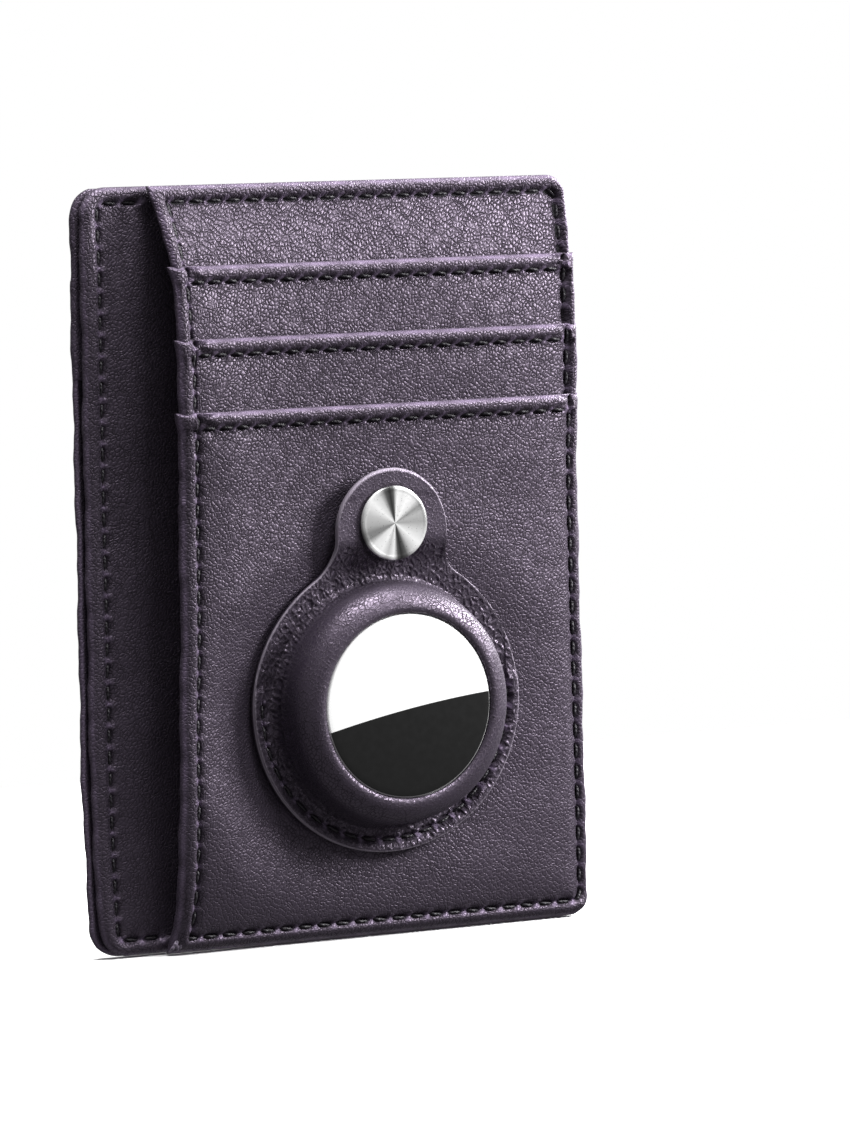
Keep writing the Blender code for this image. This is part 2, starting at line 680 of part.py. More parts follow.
def build_tag_cover(pivot):
    """Polished cover over the cell, with three bayonet lugs that lock under the shell's ledge."""
    cover = [(0, 5.55), (11.7, 5.25), (11.8, 3.3), (12.25, 3.3), (12.25, 5.0), (12.75, 5.0), (12.75, 5.45),
             (12.4, 5.72), (10.0, 6.0), (6.0, 6.2), (0, 6.3)]
    made = turned("tag_battery_cover", cover, polished_cover(), steps=40, pivot=pivot)
    for i in range(3):
        angle = math.radians(90 + 120 * i)
        middle = 12.5
        lug = block("lug_tool", (0, 0, 0), (1.1, 0.55, 3.2), polished_cover())
        lug.rotation_euler = (0, -angle, 0)
        lug.location = ((TAG_X + middle * math.cos(angle)) * MM, (PANEL_Y - 3.6) * MM,
                        (TAG_Z + middle * math.sin(angle)) * MM)
        boolean(made, lug, "UNION")
    turned("tag_cover_insulator", disc_profile(8.0, 5.22, 5.32), dark_plastic(), steps=24, pivot=pivot)


def main():
    clear_scene()
    build_inner_panel()
    build_back_base_panel()
    build_back_pocket()
    build_window_film()
    build_front_group()
    build_seam_threads()
    build_slot_threads()
    build_window_thread()
    flap_hinge = pivot_at("flap_hinge", TAG_X, LIP_Y, TAG_Z)
    upper = build_holder()
    upper.parent = flap_hinge
    upper.data.transform(flap_hinge.matrix_world.inverted())
    build_holder_thread()
    build_snap(flap_hinge)
    tag_axis = pivot_at("tag_axis", TAG_X, PANEL_Y, TAG_Z)
    build_tag_shell(tag_axis)
    build_tag_board(tag_axis)
    build_tag_speaker(tag_axis)
    build_tag_tray(tag_axis)
    build_tag_cell(tag_axis)
    build_tag_contacts(tag_axis)
    build_tag_cover(tag_axis)


main()
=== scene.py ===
"""Looks for the leather card wallet with a sewn holder and a round tracker tag.

Shapes are worked out in millimetres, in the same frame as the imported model: X to the right seen
from the front, -Y out of the front, +Z up. Meshes are scaled to metres when they are made.
"""

import math

import bpy
import numpy as np
from mathutils import Matrix, Vector


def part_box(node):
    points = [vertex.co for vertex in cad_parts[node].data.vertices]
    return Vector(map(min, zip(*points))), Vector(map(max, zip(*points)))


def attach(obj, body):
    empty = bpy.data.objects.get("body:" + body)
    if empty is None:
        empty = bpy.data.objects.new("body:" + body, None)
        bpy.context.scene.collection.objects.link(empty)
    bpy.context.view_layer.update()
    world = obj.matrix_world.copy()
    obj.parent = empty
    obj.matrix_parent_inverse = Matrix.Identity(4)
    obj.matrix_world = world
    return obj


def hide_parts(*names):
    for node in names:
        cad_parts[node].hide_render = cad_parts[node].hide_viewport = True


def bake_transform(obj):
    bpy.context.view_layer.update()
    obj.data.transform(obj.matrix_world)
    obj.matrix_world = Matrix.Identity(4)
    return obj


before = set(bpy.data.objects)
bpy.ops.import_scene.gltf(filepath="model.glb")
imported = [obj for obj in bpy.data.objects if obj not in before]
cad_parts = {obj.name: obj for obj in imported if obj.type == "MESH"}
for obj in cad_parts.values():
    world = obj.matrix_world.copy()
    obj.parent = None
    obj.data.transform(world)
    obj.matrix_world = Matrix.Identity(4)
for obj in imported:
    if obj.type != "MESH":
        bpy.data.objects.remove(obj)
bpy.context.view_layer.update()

MM = 0.001


def box_mm(node):
    """Lowest and highest corner of a CAD node, in millimetres."""
    return [np.array(corner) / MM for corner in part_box(node)]


# ---------------------------------------------------------------- sizes read from the frame

LEFT, RIGHT = box_mm("inner_panel")[0][0], box_mm("inner_panel")[1][0]
HEIGHT = box_mm("inner_panel")[1][2]
FRONT_LEFT = box_mm("front_panel")[0][0]
SLOT_UPPER = box_mm("upper_card_pocket")[1][2]
SLOT_MIDDLE = box_mm("middle_card_pocket")[1][2]
SLOT_LOWER = box_mm("front_panel")[1][2]
SLOT_BACK = box_mm("back_pocket_panel")[1][2]
CREASE = (box_mm("front_lining")[1][1] + box_mm("inner_panel")[0][1]) / 2
TAG_X, _, TAG_Z = (box_mm("tag_shell")[0] + box_mm("tag_shell")[1]) / 2
TAG_RADIUS = (box_mm("tag_shell")[1][0] - box_mm("tag_shell")[0][0]) / 2
SNAP_Z = (box_mm("snap_cap")[0][2] + box_mm("snap_cap")[1][2]) / 2
CAP_RADIUS = (box_mm("snap_cap")[1][0] - box_mm("snap_cap")[0][0]) / 2
CAP_BACK = box_mm("snap_cap")[1][1]
TAB_TOP = box_mm("holder_upper")[1][2]
FLANGE_RADIUS = (box_mm("holder_lower")[1][0] - box_mm("holder_lower")[0][0]) / 2
WINDOW_LOW, WINDOW_HIGH = box_mm("id_window_film")

# ---------------------------------------------------------------- sizes chosen here

LEFT_CORNER = 4.2
RIGHT_CORNER = 2.9
SEAM_INSET = 2.2
PITCH = 3.0
DRAWN_REACH = 3.4
EDGE_ROLL = 0.95
SEAM_BAND = 3.2
FINE_STEP = 0.2
COARSE_STEP = 0.42
THREAD_RADIUS = 0.21
STITCH_SINK = 0.42
TACK_TURNS = 4
# Strength of the painted highlight on the stitch puckers
TIP_SHINE = 1.0
PUFF_POWER = 6
END_POWER = 5
FREE_EDGE_LIFT = 4.6
FREE_EDGE_POWER = 5
BASE_PUFF = 0.6
DENT_FLAT, DENT_END, DENT_RISE = 17.0, 34.0, 1.35
PINCH_WIDTH = 3.6
SLOT_BAND_LIFT = 0.42
SLOT_GAPE = 0.55
FILM_MARGIN = 3.0
NECK_RADIUS = 6.0
TAB_HALF_WIDTH = 8.8
EDGE_DRAW = 1.2
FAN_LIFT = 1.5
STRIP_LIFT = 0.5
TURNED_LIFT = 0.45
SEWN_OVERLAP = 0.3
BACK_SWELL = 0.45
LOW_SWELL = 0.55
LOW_DRAW = 0.95
LOW_MIDDLE = 22.0
EDGE_DRAW_REACH = 13.0
COLLAR_TIP = 0.5
LINING_INSET = 0.7
BAND_FOLD = (1.9, 3.1)
TURNED_SIDE = (1.6, 4.4)
TURNED_SLOT = (2.6, 4.2)
UNDERLAP = 13.0

# Front sheets: outer face's distance from the crease at the sewn edge and inside it, puff in the
# middle, thickness inside, how far the sides stand in, and the heights where each one is seen
FRONT_LAYERS = {
    name: dict(zip(("edge", "inner", "puff", "thick", "left", "right", "low", "top"), row)) for name, row in {
        "base": (1.60, 1.12, 0.8, 0.5, 0.55, 0.80, SLOT_UPPER, HEIGHT),
        "upper": (1.80, 1.69, 1.0, 0.5, 0.35, 0.30, SLOT_MIDDLE, SLOT_UPPER),
        "middle": (1.95, 2.26, 1.2, 0.5, 0.15, 0.15, SLOT_LOWER, SLOT_MIDDLE),
        "panel": (2.04, 3.18, 1.85, 0.85, 0.0, 0.0, 0.0, SLOT_LOWER),
    }.items()}
BACK_LAYERS = {
    "inner": dict(edge=0.15, near=0.15, puff=0.2, thick=0.85),
    "base": dict(edge=1.10, near=1.10, puff=0.6, thick=0.60),
    "pocket": dict(edge=1.10, near=1.86, puff=1.5, thick=0.85),
}


def smooth(low, high, value):
    t = np.clip((value - low) / (high - low), 0.0, 1.0)
    return t * t * (3 - 2 * t)


def bell(value, width):
    return np.exp(-(value / width) ** 2)


# ---------------------------------------------------------------- the wallet's swelling surfaces

def end_fade(z):
    return 1.0 - np.abs(2 * z / HEIGHT - 1) ** END_POWER


def fan(z):
    """The stacked pockets stand forward just below the thin top seam."""
    return smooth(HEIGHT + 0.5, 94.5, z) * smooth(58.0, 90.0, z)


def dent(x, z):
    """The stiff holder keeps the pockets flat round itself, less so above it; 0 is flat and 1 untouched."""
    up = np.where(z > TAG_Z, DENT_RISE, 1.0) * (z - TAG_Z)
    return smooth(DENT_FLAT, DENT_END, np.hypot(x - TAG_X, up))


def across_front(x):
    """0 at the front group's free edge and 1 at its right edge."""
    return np.clip((x - FRONT_LEFT) / (RIGHT - FRONT_LEFT), 0.0, 1.0)


def front_bulge(layer, x, z):
    u = across_front(x)
    spread = smooth(0.0, 0.15, u) * (1 - u ** PUFF_POWER)
    puff = BASE_PUFF * (1 - u ** PUFF_POWER) + (layer["puff"] - BASE_PUFF) * spread
    return dent(x, z) * end_fade(z) * (puff + FREE_EDGE_LIFT * (1 - u) ** FREE_EDGE_POWER)


def front_y(layer, x, z):
    """Outer face of a front sheet, before its edges are rolled and its seams pressed in."""
    from_edge = np.minimum(x - FRONT_LEFT, RIGHT - x)
    from_edge = np.minimum(from_edge, z)
    from_edge = np.minimum(from_edge, HEIGHT - z)
    offset = layer["edge"] + (layer["inner"] - layer["edge"]) * smooth(0.0, PINCH_WIDTH, from_edge)
    y = CREASE - offset - front_bulge(layer, x, z) - FAN_LIFT * fan(z)
    if layer["top"] < HEIGHT:
        below = layer["top"] - z
        y = y - SLOT_BAND_LIFT * (1 - smooth(*BAND_FOLD, below)) * smooth(0.0, 3.0, from_edge)
        y = y - SLOT_GAPE * np.sin(np.pi * across_front(x)) * bell(below, 5.0)
    return y


def drawn_in(x, z):
    """How far the free edge of the front group is pulled sideways as it stands open."""
    near = 1 - smooth(0.0, EDGE_DRAW_REACH, x - FRONT_LEFT)
    low = bell(z - LOW_MIDDLE, LOW_MIDDLE)
    return (EDGE_DRAW * (1 - np.abs(2 * z / HEIGHT - 1) ** 6) - LOW_DRAW * low) * near


def visible_front(x, z):
    """Outer face of whichever front sheet is seen at (x, z)."""
    y = front_y(FRONT_LAYERS["panel"], x, z)
    for name in ("middle", "upper", "base"):
        layer = FRONT_LAYERS[name]
        y = np.where(z > layer["low"], front_y(layer, x, z), y)
    return y


def back_near_y(layer, x, z):
    """The face nearer the front of a back sheet."""
    u = np.clip(np.abs(x) / RIGHT, 0.0, 1.0)
    bulge = layer["puff"] * end_fade(z) * (1 - u ** PUFF_POWER)
    from_edge = np.minimum(RIGHT - np.abs(x), z)
    offset = layer["edge"] + (layer["near"] - layer["edge"]) * smooth(0.0, PINCH_WIDTH, from_edge)
    return CREASE + offset + bulge


def strip_y(x, z):
    """Front face of the inner panel, which shows beside the front group."""
    turned = 1 - smooth(0.0, 4.5, x - LEFT - INNER_INSET)
    sewn = smooth(RIGHT - 5.0, RIGHT - 0.5, x)
    return (back_near_y(BACK_LAYERS["inner"], x, z) - 0.05 - STRIP_LIFT * fan(z) * (1 - sewn)
            - TURNED_LIFT * turned - SEWN_OVERLAP * sewn)


def swollen_side(x, z):
    """The left edge of the back half bows outwards a little between its corners."""
    near = 1 - smooth(0.0, 9.0, x - LEFT)
    low = LOW_SWELL * bell(z - LOW_MIDDLE, LOW_MIDDLE)
    return -(BACK_SWELL * (1 - (2 * z / HEIGHT - 1) ** 2) + low) * near


def upper_back(x, z):
    """Outer face of the back above its pocket."""
    return back_near_y(BACK_LAYERS["base"], x, z) + BACK_LAYERS["base"]["thick"] + 0.25


def outer_back(x, z):
    pocket = BACK_LAYERS["pocket"]
    y = back_near_y(pocket, x, z) + pocket["thick"]
    y = y + SLOT_BAND_LIFT * (1 - smooth(*BAND_FOLD, SLOT_BACK - z)) * smooth(0.0, 3.0, RIGHT - np.abs(x))
    return np.where(z > SLOT_BACK, upper_back(x, z), y)


# ---------------------------------------------------------------- seams

# Round each stitch: half length of the sunk part, reach of the pucker between two stitches
SUNK_HALF = (0.72, 1.22)
PUCKER_REACH, PUCKER_RISE, TROUGH_REACH = 0.40, 0.34, 0.36


class Seam:
    """A line of stitches through (x, z) points; its right-hand side is the side of the edge."""

    def __init__(self, points, closed=False, slant=0.16, pressed=0.30, lobe=0.40, drawn=0.50):
        path = np.array(points, float)
        if closed:
            path = np.vstack([path, path[:1]])
        self.start = path[:-1]
        self.step = path[1:] - path[:-1]
        self.length = np.hypot(*self.step.T)
        self.before = np.concatenate([[0.0], np.cumsum(self.length)[:-1]])
        self.total = self.length.sum()
        self.count = max(1, round(self.total / PITCH))
        self.pitch = self.total / self.count
        self.slant, self.pressed, self.lobe, self.drawn = slant, pressed, lobe, drawn

    def locate(self, x, z):
        """Distance towards the edge side, and distance along, of the nearest point of the seam."""
        best, side, along = np.full(x.shape, 1e9), np.zeros(x.shape), np.zeros(x.shape)
        for start, step, length, before in zip(self.start, self.step, self.length, self.before):
            dx, dz = x - start[0], z - start[1]
            t = np.clip((dx * step[0] + dz * step[1]) / length ** 2, 0.0, 1.0)
            gap = np.hypot(dx - t * step[0], dz - t * step[1])
            turn = dx * step[1] - dz * step[0]
            closer = gap < best
            best = np.where(closer, gap, best)
            side = np.where(closer, np.where(turn >= 0, gap, -gap), side)
            along = np.where(closer, before + t * length, along)
        return side, along

    def point(self, along):
        """Point and direction at a distance along the seam."""
        i = min(len(self.length) - 1, int(np.searchsorted(self.before, along, side="right")) - 1)
        t = (along - self.before[i]) / self.length[i]
        return self.start[i] + t * self.step[i], self.step[i] / self.length[i]

    def relief(self, x, z):
        """How far the stitches press the leather in, the painted shade in their troughs, and the painted
        highlight on the puckers between them.
        """
        side, along = self.locate(x, z)
        phase = (along + 0.35 * side) / self.pitch
        from_middle = np.abs(phase - np.floor(phase) - 0.5) * self.pitch
        between = from_middle - self.pitch / 2
        trough = 1 - smooth(*SUNK_HALF, from_middle)
        pucker = bell(between, PUCKER_REACH)
        shoulder = np.where(side < 0, np.exp(side / 0.75), np.exp(-side / 0.30))
        depth = self.pressed * shoulder + bell(side, TROUGH_REACH) * (0.20 + 0.34 * trough)
        depth += self.drawn * np.where(side < 0, np.exp(side / DRAWN_REACH), 0.0)
        depth -= self.lobe * np.sin(np.pi * np.clip(side / SEAM_INSET, 0.0, 1.0))
        depth -= PUCKER_RISE * bell(side + 0.42, TROUGH_REACH) * pucker
        # Painted shade: near-black colour laid along each stitch trough, darkest mid-stitch and fading over
        # the puckers
        dark = bell(side, 0.31) * (0.50 + 0.6 * trough) * (1 - 0.9 * pucker)
        # Painted highlight on the puckers between stitches
        tip = 1.2 * bell(side - 0.10, 0.46) * bell(between, 0.38)
        return depth, np.clip(dark, 0.0, 1.0), tip


def arc(x, z, radius, first, last, steps=7):
    turns = np.radians(np.linspace(first, last, steps))
    return [(x + radius * math.cos(a), z + radius * math.sin(a)) for a in turns]


def round_loop(low_x, high_x, low_z, high_z, radius):
    """Anticlockwise loop seen from the front, so that the edge lies on its right-hand side."""
    left, right, foot, top = low_x + radius, high_x - radius, low_z + radius, high_z - radius
    return [*arc(right, foot, radius, -90, 0), *arc(right, top, radius, 0, 90),
            *arc(left, top, radius, 90, 180), *arc(left, foot, radius, 180, 270)]


def slot_seam(low_x, high_x, top):
    z = top - SEAM_INSET
    return Seam([(high_x - SEAM_INSET - 0.6, z), (low_x + SEAM_INSET + 0.6, z)])


SEAM_CORNER = 1.4
INNER_INSET = 0.9
LEFT_INSET = 3.6
TOP_RIGHT_INSET, BOTTOM_RIGHT_INSET = 2.2, 1.6
ROUND_TOP = HEIGHT - SEAM_INSET - SEAM_CORNER
ROUND_FOOT = SEAM_INSET + SEAM_CORNER
ROUND_LEFT = LEFT + LEFT_INSET + SEAM_CORNER
FRONT_SEAM = Seam([*arc(RIGHT - BOTTOM_RIGHT_INSET - SEAM_CORNER, ROUND_FOOT, SEAM_CORNER, -90, 0),
                   *arc(RIGHT - TOP_RIGHT_INSET - SEAM_CORNER, ROUND_TOP, SEAM_CORNER, 0, 90),
                   (FRONT_LEFT + SEAM_INSET, HEIGHT - SEAM_INSET), (FRONT_LEFT + SEAM_INSET, SEAM_INSET)],
                  closed=True, slant=0.12)
SLOT_SEAMS = {name: slot_seam(FRONT_LEFT, RIGHT, FRONT_LAYERS[name]["top"])
              for name in ("upper", "middle", "panel")}
BACK_SEAM = Seam(round_loop(LEFT + SEAM_INSET, RIGHT - SEAM_INSET, SEAM_INSET, HEIGHT - SEAM_INSET,
                            SEAM_CORNER), closed=True, slant=0.10)
LEFT_SEAM = Seam([(FRONT_LEFT - 0.6, HEIGHT - SEAM_INSET), *arc(ROUND_LEFT, ROUND_TOP, SEAM_CORNER, 90, 180),
                  *arc(ROUND_LEFT, ROUND_FOOT, SEAM_CORNER, 180, 270), (FRONT_LEFT - 0.6, SEAM_INSET)],
                 slant=0.10, pressed=0.26, lobe=0.36, drawn=0.15)
BACK_SLOT_SEAM = slot_seam(LEFT, RIGHT, SLOT_BACK)
WINDOW = (WINDOW_LOW[0] + FILM_MARGIN, WINDOW_HIGH[0] - FILM_MARGIN,
          WINDOW_LOW[2] + FILM_MARGIN, WINDOW_HIGH[2] - FILM_MARGIN)
WINDOW_CORNER, WINDOW_SEAM_GAP = 4.0, 1.6
WINDOW_LOOP = round_loop(WINDOW[0] - WINDOW_SEAM_GAP, WINDOW[1] + WINDOW_SEAM_GAP,
                         WINDOW[2] - WINDOW_SEAM_GAP, WINDOW[3] + WINDOW_SEAM_GAP, 5.4)
WINDOW_SEAM = Seam(WINDOW_LOOP[::-1], closed=True, slant=0.08)


# ---------------------------------------------------------------- meshes

def add_object(name, mesh, material):
    mesh.validate()
    mesh.shade_smooth()
    mesh.materials.append(material)
    made = bpy.data.objects.new(name, mesh)
    bpy.context.collection.objects.link(made)
    return made


def mesh_object(name, points, faces, material, **attributes):
    """A smooth mesh from points in millimetres, with named float attributes on its points."""
    mesh = bpy.data.meshes.new(name)
    points = np.asarray(points, np.float64) * MM
    faces = np.asarray(faces, np.int32)
    mesh.vertices.add(len(points))
    mesh.vertices.foreach_set("co", points.ravel())
    mesh.loops.add(faces.size)
    mesh.loops.foreach_set("vertex_index", faces.ravel())
    mesh.polygons.add(len(faces))
    mesh.polygons.foreach_set("loop_start", np.arange(0, faces.size, faces.shape[1]))
    mesh.update(calc_edges=True)
    made = add_object(name, mesh, material)
    for key, values in attributes.items():
        layer = mesh.attributes.new(key, "FLOAT", "POINT")
        layer.data.foreach_set("value", np.asarray(values, np.float32).ravel())
    return made


def stations(low, high, step=COARSE_STEP):
    """Grid lines from low to high, closer together over a rolled edge and its seam."""
    roll = EDGE_ROLL * (1 - np.cos(np.linspace(0, math.pi / 2, 8)))
    near = np.concatenate([roll, np.arange(EDGE_ROLL + FINE_STEP, SEAM_BAND, FINE_STEP)])
    count = max(2, round((high - low - 2 * near[-1]) / step))
    middle = np.linspace(low + near[-1], high - near[-1], count + 1)[1:-1]
    return np.concatenate([low + near, middle, high - near[::-1]])


def outline_distance(box, round_left, x, z):
    """Distance inside a box (low x, high x, low z, high z), rounded at the wallet's own corners."""
    low_x, high_x, low_z, high_z = box
    distance = np.minimum(np.minimum(x - low_x, high_x - x), np.minimum(z - low_z, high_z - z))
    corners = [(high_x - RIGHT_CORNER, 1, RIGHT_CORNER)]
    if round_left:
        corners.append((low_x + LEFT_CORNER, -1, LEFT_CORNER))
    for centre_x, sign, radius in corners:
        for centre_z, up, real in ((radius, -1, low_z < 1), (HEIGHT - radius, 1, high_z > HEIGHT - 1)):
            dx, dz = sign * (x - centre_x), up * (z - centre_z)
            distance = np.where((dx > 0) & (dz > 0) & real, radius - np.hypot(dx, dz), distance)
    return np.maximum(distance, 0.0)


def rolled(distance, radius):
    """How far a face, or an outline, curves away near its rounded edge."""
    into = np.clip(radius - distance, 0.0, radius)
    return radius - np.sqrt(np.maximum(0.0, radius ** 2 - into ** 2))


def grid_quads(index, periodic=False):
    """Quads of a grid of point indices; periodic joins the last column to the first."""
    if periodic:
        index = np.hstack([index, index[:, :1]])
    return np.stack([index[:-1, :-1], index[:-1, 1:], index[1:, 1:], index[1:, :-1]], -1).reshape(-1, 4)


def grid_rim(shape, sides=True):
    """True on a grid's first and last rows, and on its first and last columns too."""
    rim = np.zeros(shape, bool)
    rim[0] = rim[-1] = True
    if sides:
        rim[:, 0] = rim[:, -1] = True
    return rim


def two_sided(name, x, z, front, back, material, periodic=False, **attributes):
    """A closed sheet between two faces that share the points of its rim."""
    index = np.arange(x.size).reshape(x.shape)
    rim = grid_rim(x.shape, not periodic)
    inner = np.flatnonzero(~rim.ravel())
    other = np.where(rim, index, 0)
    other.ravel()[inner] = x.size + np.arange(len(inner))
    near, far = (np.stack([x, y, z], -1).reshape(-1, 3) for y in (front, back))
    points = np.vstack([near, far[inner]])
    faces = np.vstack([grid_quads(index, periodic), grid_quads(other, periodic)[:, ::-1]])
    both = {key: np.concatenate([value.ravel(), value.ravel()[inner]]) for key, value in attributes.items()}
    return mesh_object(name, points, faces, material, **both)


def unrolled(x, y, z):
    """Lengths along a sheet's two directions, measured from its middle, so that grain isn't stretched."""
    def along(first, second, axis):
        step = np.hypot(np.diff(first, axis=axis), np.diff(second, axis=axis))
        total = np.concatenate([np.zeros_like(np.take(first, [0], axis)), np.cumsum(step, axis)], axis)
        middle = first.shape[axis] // 2
        return total - np.take(total, [middle], axis) + np.take(first, [middle], axis)
    return along(x, y, 1), along(z, y, 0)


def undulation(x, z):
    """Slow unevenness of a hand-finished leather panel."""
    return (0.05 * np.sin(0.21 * x + 0.13 * z + 0.6) + 0.04 * np.sin(0.37 * x - 0.29 * z)
            + 0.03 * np.sin(0.63 * z + 0.17 * x + 2.0))


# ---------------------------------------------------------------- materials

class Value:
    """One output in a shader, which adds, subtracts and multiplies like a number."""

    def __init__(self, shader, socket):
        self.shader, self.socket = shader, socket

    def __add__(self, other):
        return self.shader.maths("ADD", self, other)

    def __sub__(self, other):
        return self.shader.maths("SUBTRACT", self, other)

    def __rsub__(self, other):
        return self.shader.maths("SUBTRACT", other, self)

    def __mul__(self, other):
        return self.shader.maths("MULTIPLY", self, other)


class Shader:
    """A small helper round one material's node tree."""

    def __init__(self, name):
        self.material = bpy.data.materials.new(name)
        self.material.use_nodes = True
        self.tree = self.material.node_tree
        self.surface = self.tree.nodes["Principled BSDF"]
        self.place = self.node("ShaderNodeTexCoord", "Object", {})

    def feed(self, target, value):
        """Links or sets one input; a colour of three numbers is opaque."""
        if isinstance(value, Value):
            self.tree.links.new(value.socket, target)
        elif value is not None:
            target.default_value = (*value, 1.0) if target.type == "RGBA" else value

    def node(self, kind, output, inputs, **settings):
        """One output of a new node, with its inputs fed by name or number."""
        made = self.tree.nodes.new(kind)
        for key, value in settings.items():
            setattr(made, key, value)
        for key, value in inputs.items():
            self.feed(made.inputs[key], value)
        return Value(self, made.outputs[output])

    def finish(self, **values):
        """Feeds the surface's own inputs, and gives the material."""
        for key, value in values.items():
            self.feed(self.surface.inputs[key.replace("_", " ")], value)
        return self.material

    def maths(self, operation, a, b=None):
        return self.node("ShaderNodeMath", 0, {0: a, 1: b}, operation=operation)

    def vector(self, source, scale, turn=(0.0, 0.0, 0.0)):
        return self.node("ShaderNodeMapping", 0, {"Vector": source, "Scale": scale, "Rotation": turn})

    def noise(self, place, scale, detail=3.0, roughness=0.55, output="Fac"):
        return self.node("ShaderNodeTexNoise", output,
                         {"Vector": place, "Scale": scale, "Detail": detail, "Roughness": roughness})

    def wave(self, direction, scale, distortion):
        inputs = {"Scale": scale, "Distortion": distortion, "Vector": self.place}
        return self.node("ShaderNodeTexWave", "Fac", inputs, wave_type="BANDS", bands_direction=direction)

    def laid(self, wobble, wobble_scale, stretch, turn):
        """Millimetres along the leather's own surface, pushed about by noise, then turned and stretched."""
        joined = self.node("ShaderNodeCombineXYZ", 0, {0: self.attribute("u"), 1: self.attribute("v")})
        push = {0: self.noise(self.place, wobble_scale, 2.0, output="Color"), 1: (wobble,) * 3, 2: joined}
        pushed = self.node("ShaderNodeVectorMath", 0, push, operation="MULTIPLY_ADD")
        turned = self.vector(pushed, (1.0, 1.0, 0.0), (0.0, 0.0, math.radians(turn)))
        return self.vector(turned, (1.0, stretch, 1.0))

    def cell_edges(self, place, scale, spread=0.9, dimensions="2D"):
        inputs = {"Vector": place, "Scale": scale, "Randomness": spread}
        return self.node("ShaderNodeTexVoronoi", "Distance", inputs, feature="DISTANCE_TO_EDGE",
                         voronoi_dimensions=dimensions)

    def ramp(self, value, low, high, to_low=0.0, to_high=1.0):
        limits = {"Value": value, "From Min": low, "From Max": high, "To Min": to_low, "To Max": to_high}
        return self.node("ShaderNodeMapRange", 0, limits, interpolation_type="SMOOTHSTEP")

    def mix(self, factor, a, b, blend="MIX"):
        return self.node("ShaderNodeMix", 2, {"Factor": factor, 6: a, 7: b}, data_type="RGBA",
                         blend_type=blend)

    def attribute(self, name):
        return self.node("ShaderNodeAttribute", "Fac", {}, attribute_name=name)

    def bump(self, height, distance, strength=1.0):
        return self.node("ShaderNodeBump", 0, {"Strength": strength, "Distance": distance, "Height": height})


def darker(share, tone):
    return tuple(share * c for c in tone)


GRAIN_AT_FOOT, FOOT_END = 0.75, 75.0
DOME_RISE, LUMP_RISE, CREASE_SINK, FINE_RISE = 0.045, 0.06, 0.075, 0.015
LUMP_SIZE, LUMP_LEAN = 1.5, -38
# Painted shade laid in the stitch troughs and in a ring round the snap cap
PAINTED_SHADE_COLOUR = (0.0015, 0.001, 0.0015)
# Painted highlight along the holder's cut edge
PAINTED_EDGE_HIGHLIGHT = (0.34, 0.30, 0.36)
LEATHER_SHEEN = (0.93, 0.77, 1.0)


def leather(name, tone=(0.0250, 0.0190, 0.0300), grain=1.0, cell=0.48, roughness=0.43, crinkle=0.0):
    """Pebbled leather: rounded grains cut by fine creases, darker there; painted shade in the stitch troughs
    and round the snap cap, and painted highlights along rolled and cut edges and on stitch puckers.
    """
    s = Shader(name)
    slanted = s.laid(0.5, 1300.0, 0.70, 40)
    edges = s.cell_edges(slanted, 1.0 / cell)
    broken = s.ramp(s.noise(s.place, 1.0 / (1.6 * MM), 2.0), 0.30, 0.60, 0.45, 1.0)
    line = (1.0 - s.ramp(edges, 0.02, 0.22)) * broken
    folds = s.cell_edges(slanted, 1.0 / (4.5 * cell), 1.0)
    softer = s.ramp(s.attribute("v"), 0.0, FOOT_END, GRAIN_AT_FOOT, 1.0)
    line = s.maths("MAXIMUM", line, 1.0 - s.ramp(folds, 0.005, 0.045)) * softer
    leaning = s.vector(s.place, (1.0, 1.0, 0.6), (0.0, math.radians(LUMP_LEAN), 0.0))
    lumps = s.noise(leaning, 1.0 / (LUMP_SIZE * MM), 2.0, 0.5)
    fine = s.noise(s.place, 1.0 / (0.25 * MM), 2.0)
    height = s.ramp(edges, 0.0, 0.55) * softer * (DOME_RISE * grain) + lumps * (LUMP_RISE * grain)
    height = height - line * (CREASE_SINK * grain) + fine * FINE_RISE
    if crinkle:
        wavy = s.cell_edges(s.laid(1.0, 600.0, 0.8, -25), 1.0 / 0.85, 1.0)
        zone = s.attribute("crinkle")
        height = height + s.ramp(wavy, 0.0, 0.4) * zone * crinkle
        line = s.maths("MAXIMUM", line, zone * s.ramp(wavy, 0.0, 0.12, 0.7, 0.0))
    patches = s.noise(s.place, 60.0, 3.0)
    colour = s.mix(s.ramp(patches, 0.30, 0.75, 0.0, 0.4), tone, darker(0.6, tone))
    colour = s.mix(line * 0.95, colour, darker(0.08, tone))
    # Painted highlight: lighter colour on rolled edges and stitch puckers
    colour = s.mix(s.attribute("wear"), colour, darker(6.5, tone))
    # Painted shade in the stitch troughs and round the snap cap
    colour = s.mix(s.attribute("dark"), colour, PAINTED_SHADE_COLOUR)
    # Painted highlight along cut edges
    colour = s.mix(s.attribute("shine"), colour, PAINTED_EDGE_HIGHLIGHT)
    matt = s.ramp(s.attribute("dark") + line, 0.0, 1.0, roughness, 1.0)
    return s.finish(Base_Color=colour, Roughness=matt, Normal=s.bump(height, MM), Specular_Tint=LEATHER_SHEEN,
                    Specular_IOR_Level=1.0)


def cloth(name):
    """Plain-woven black lining."""
    s = Shader(name)
    weave = s.maths("MAXIMUM", s.wave("Z", 380.0, 0.6), s.wave("X", 380.0, 0.6))
    colour = s.mix(weave, (0.008, 0.007, 0.009), (0.030, 0.027, 0.034))
    return s.finish(Base_Color=colour, Normal=s.bump(weave, 0.06 * MM), Roughness=0.85)


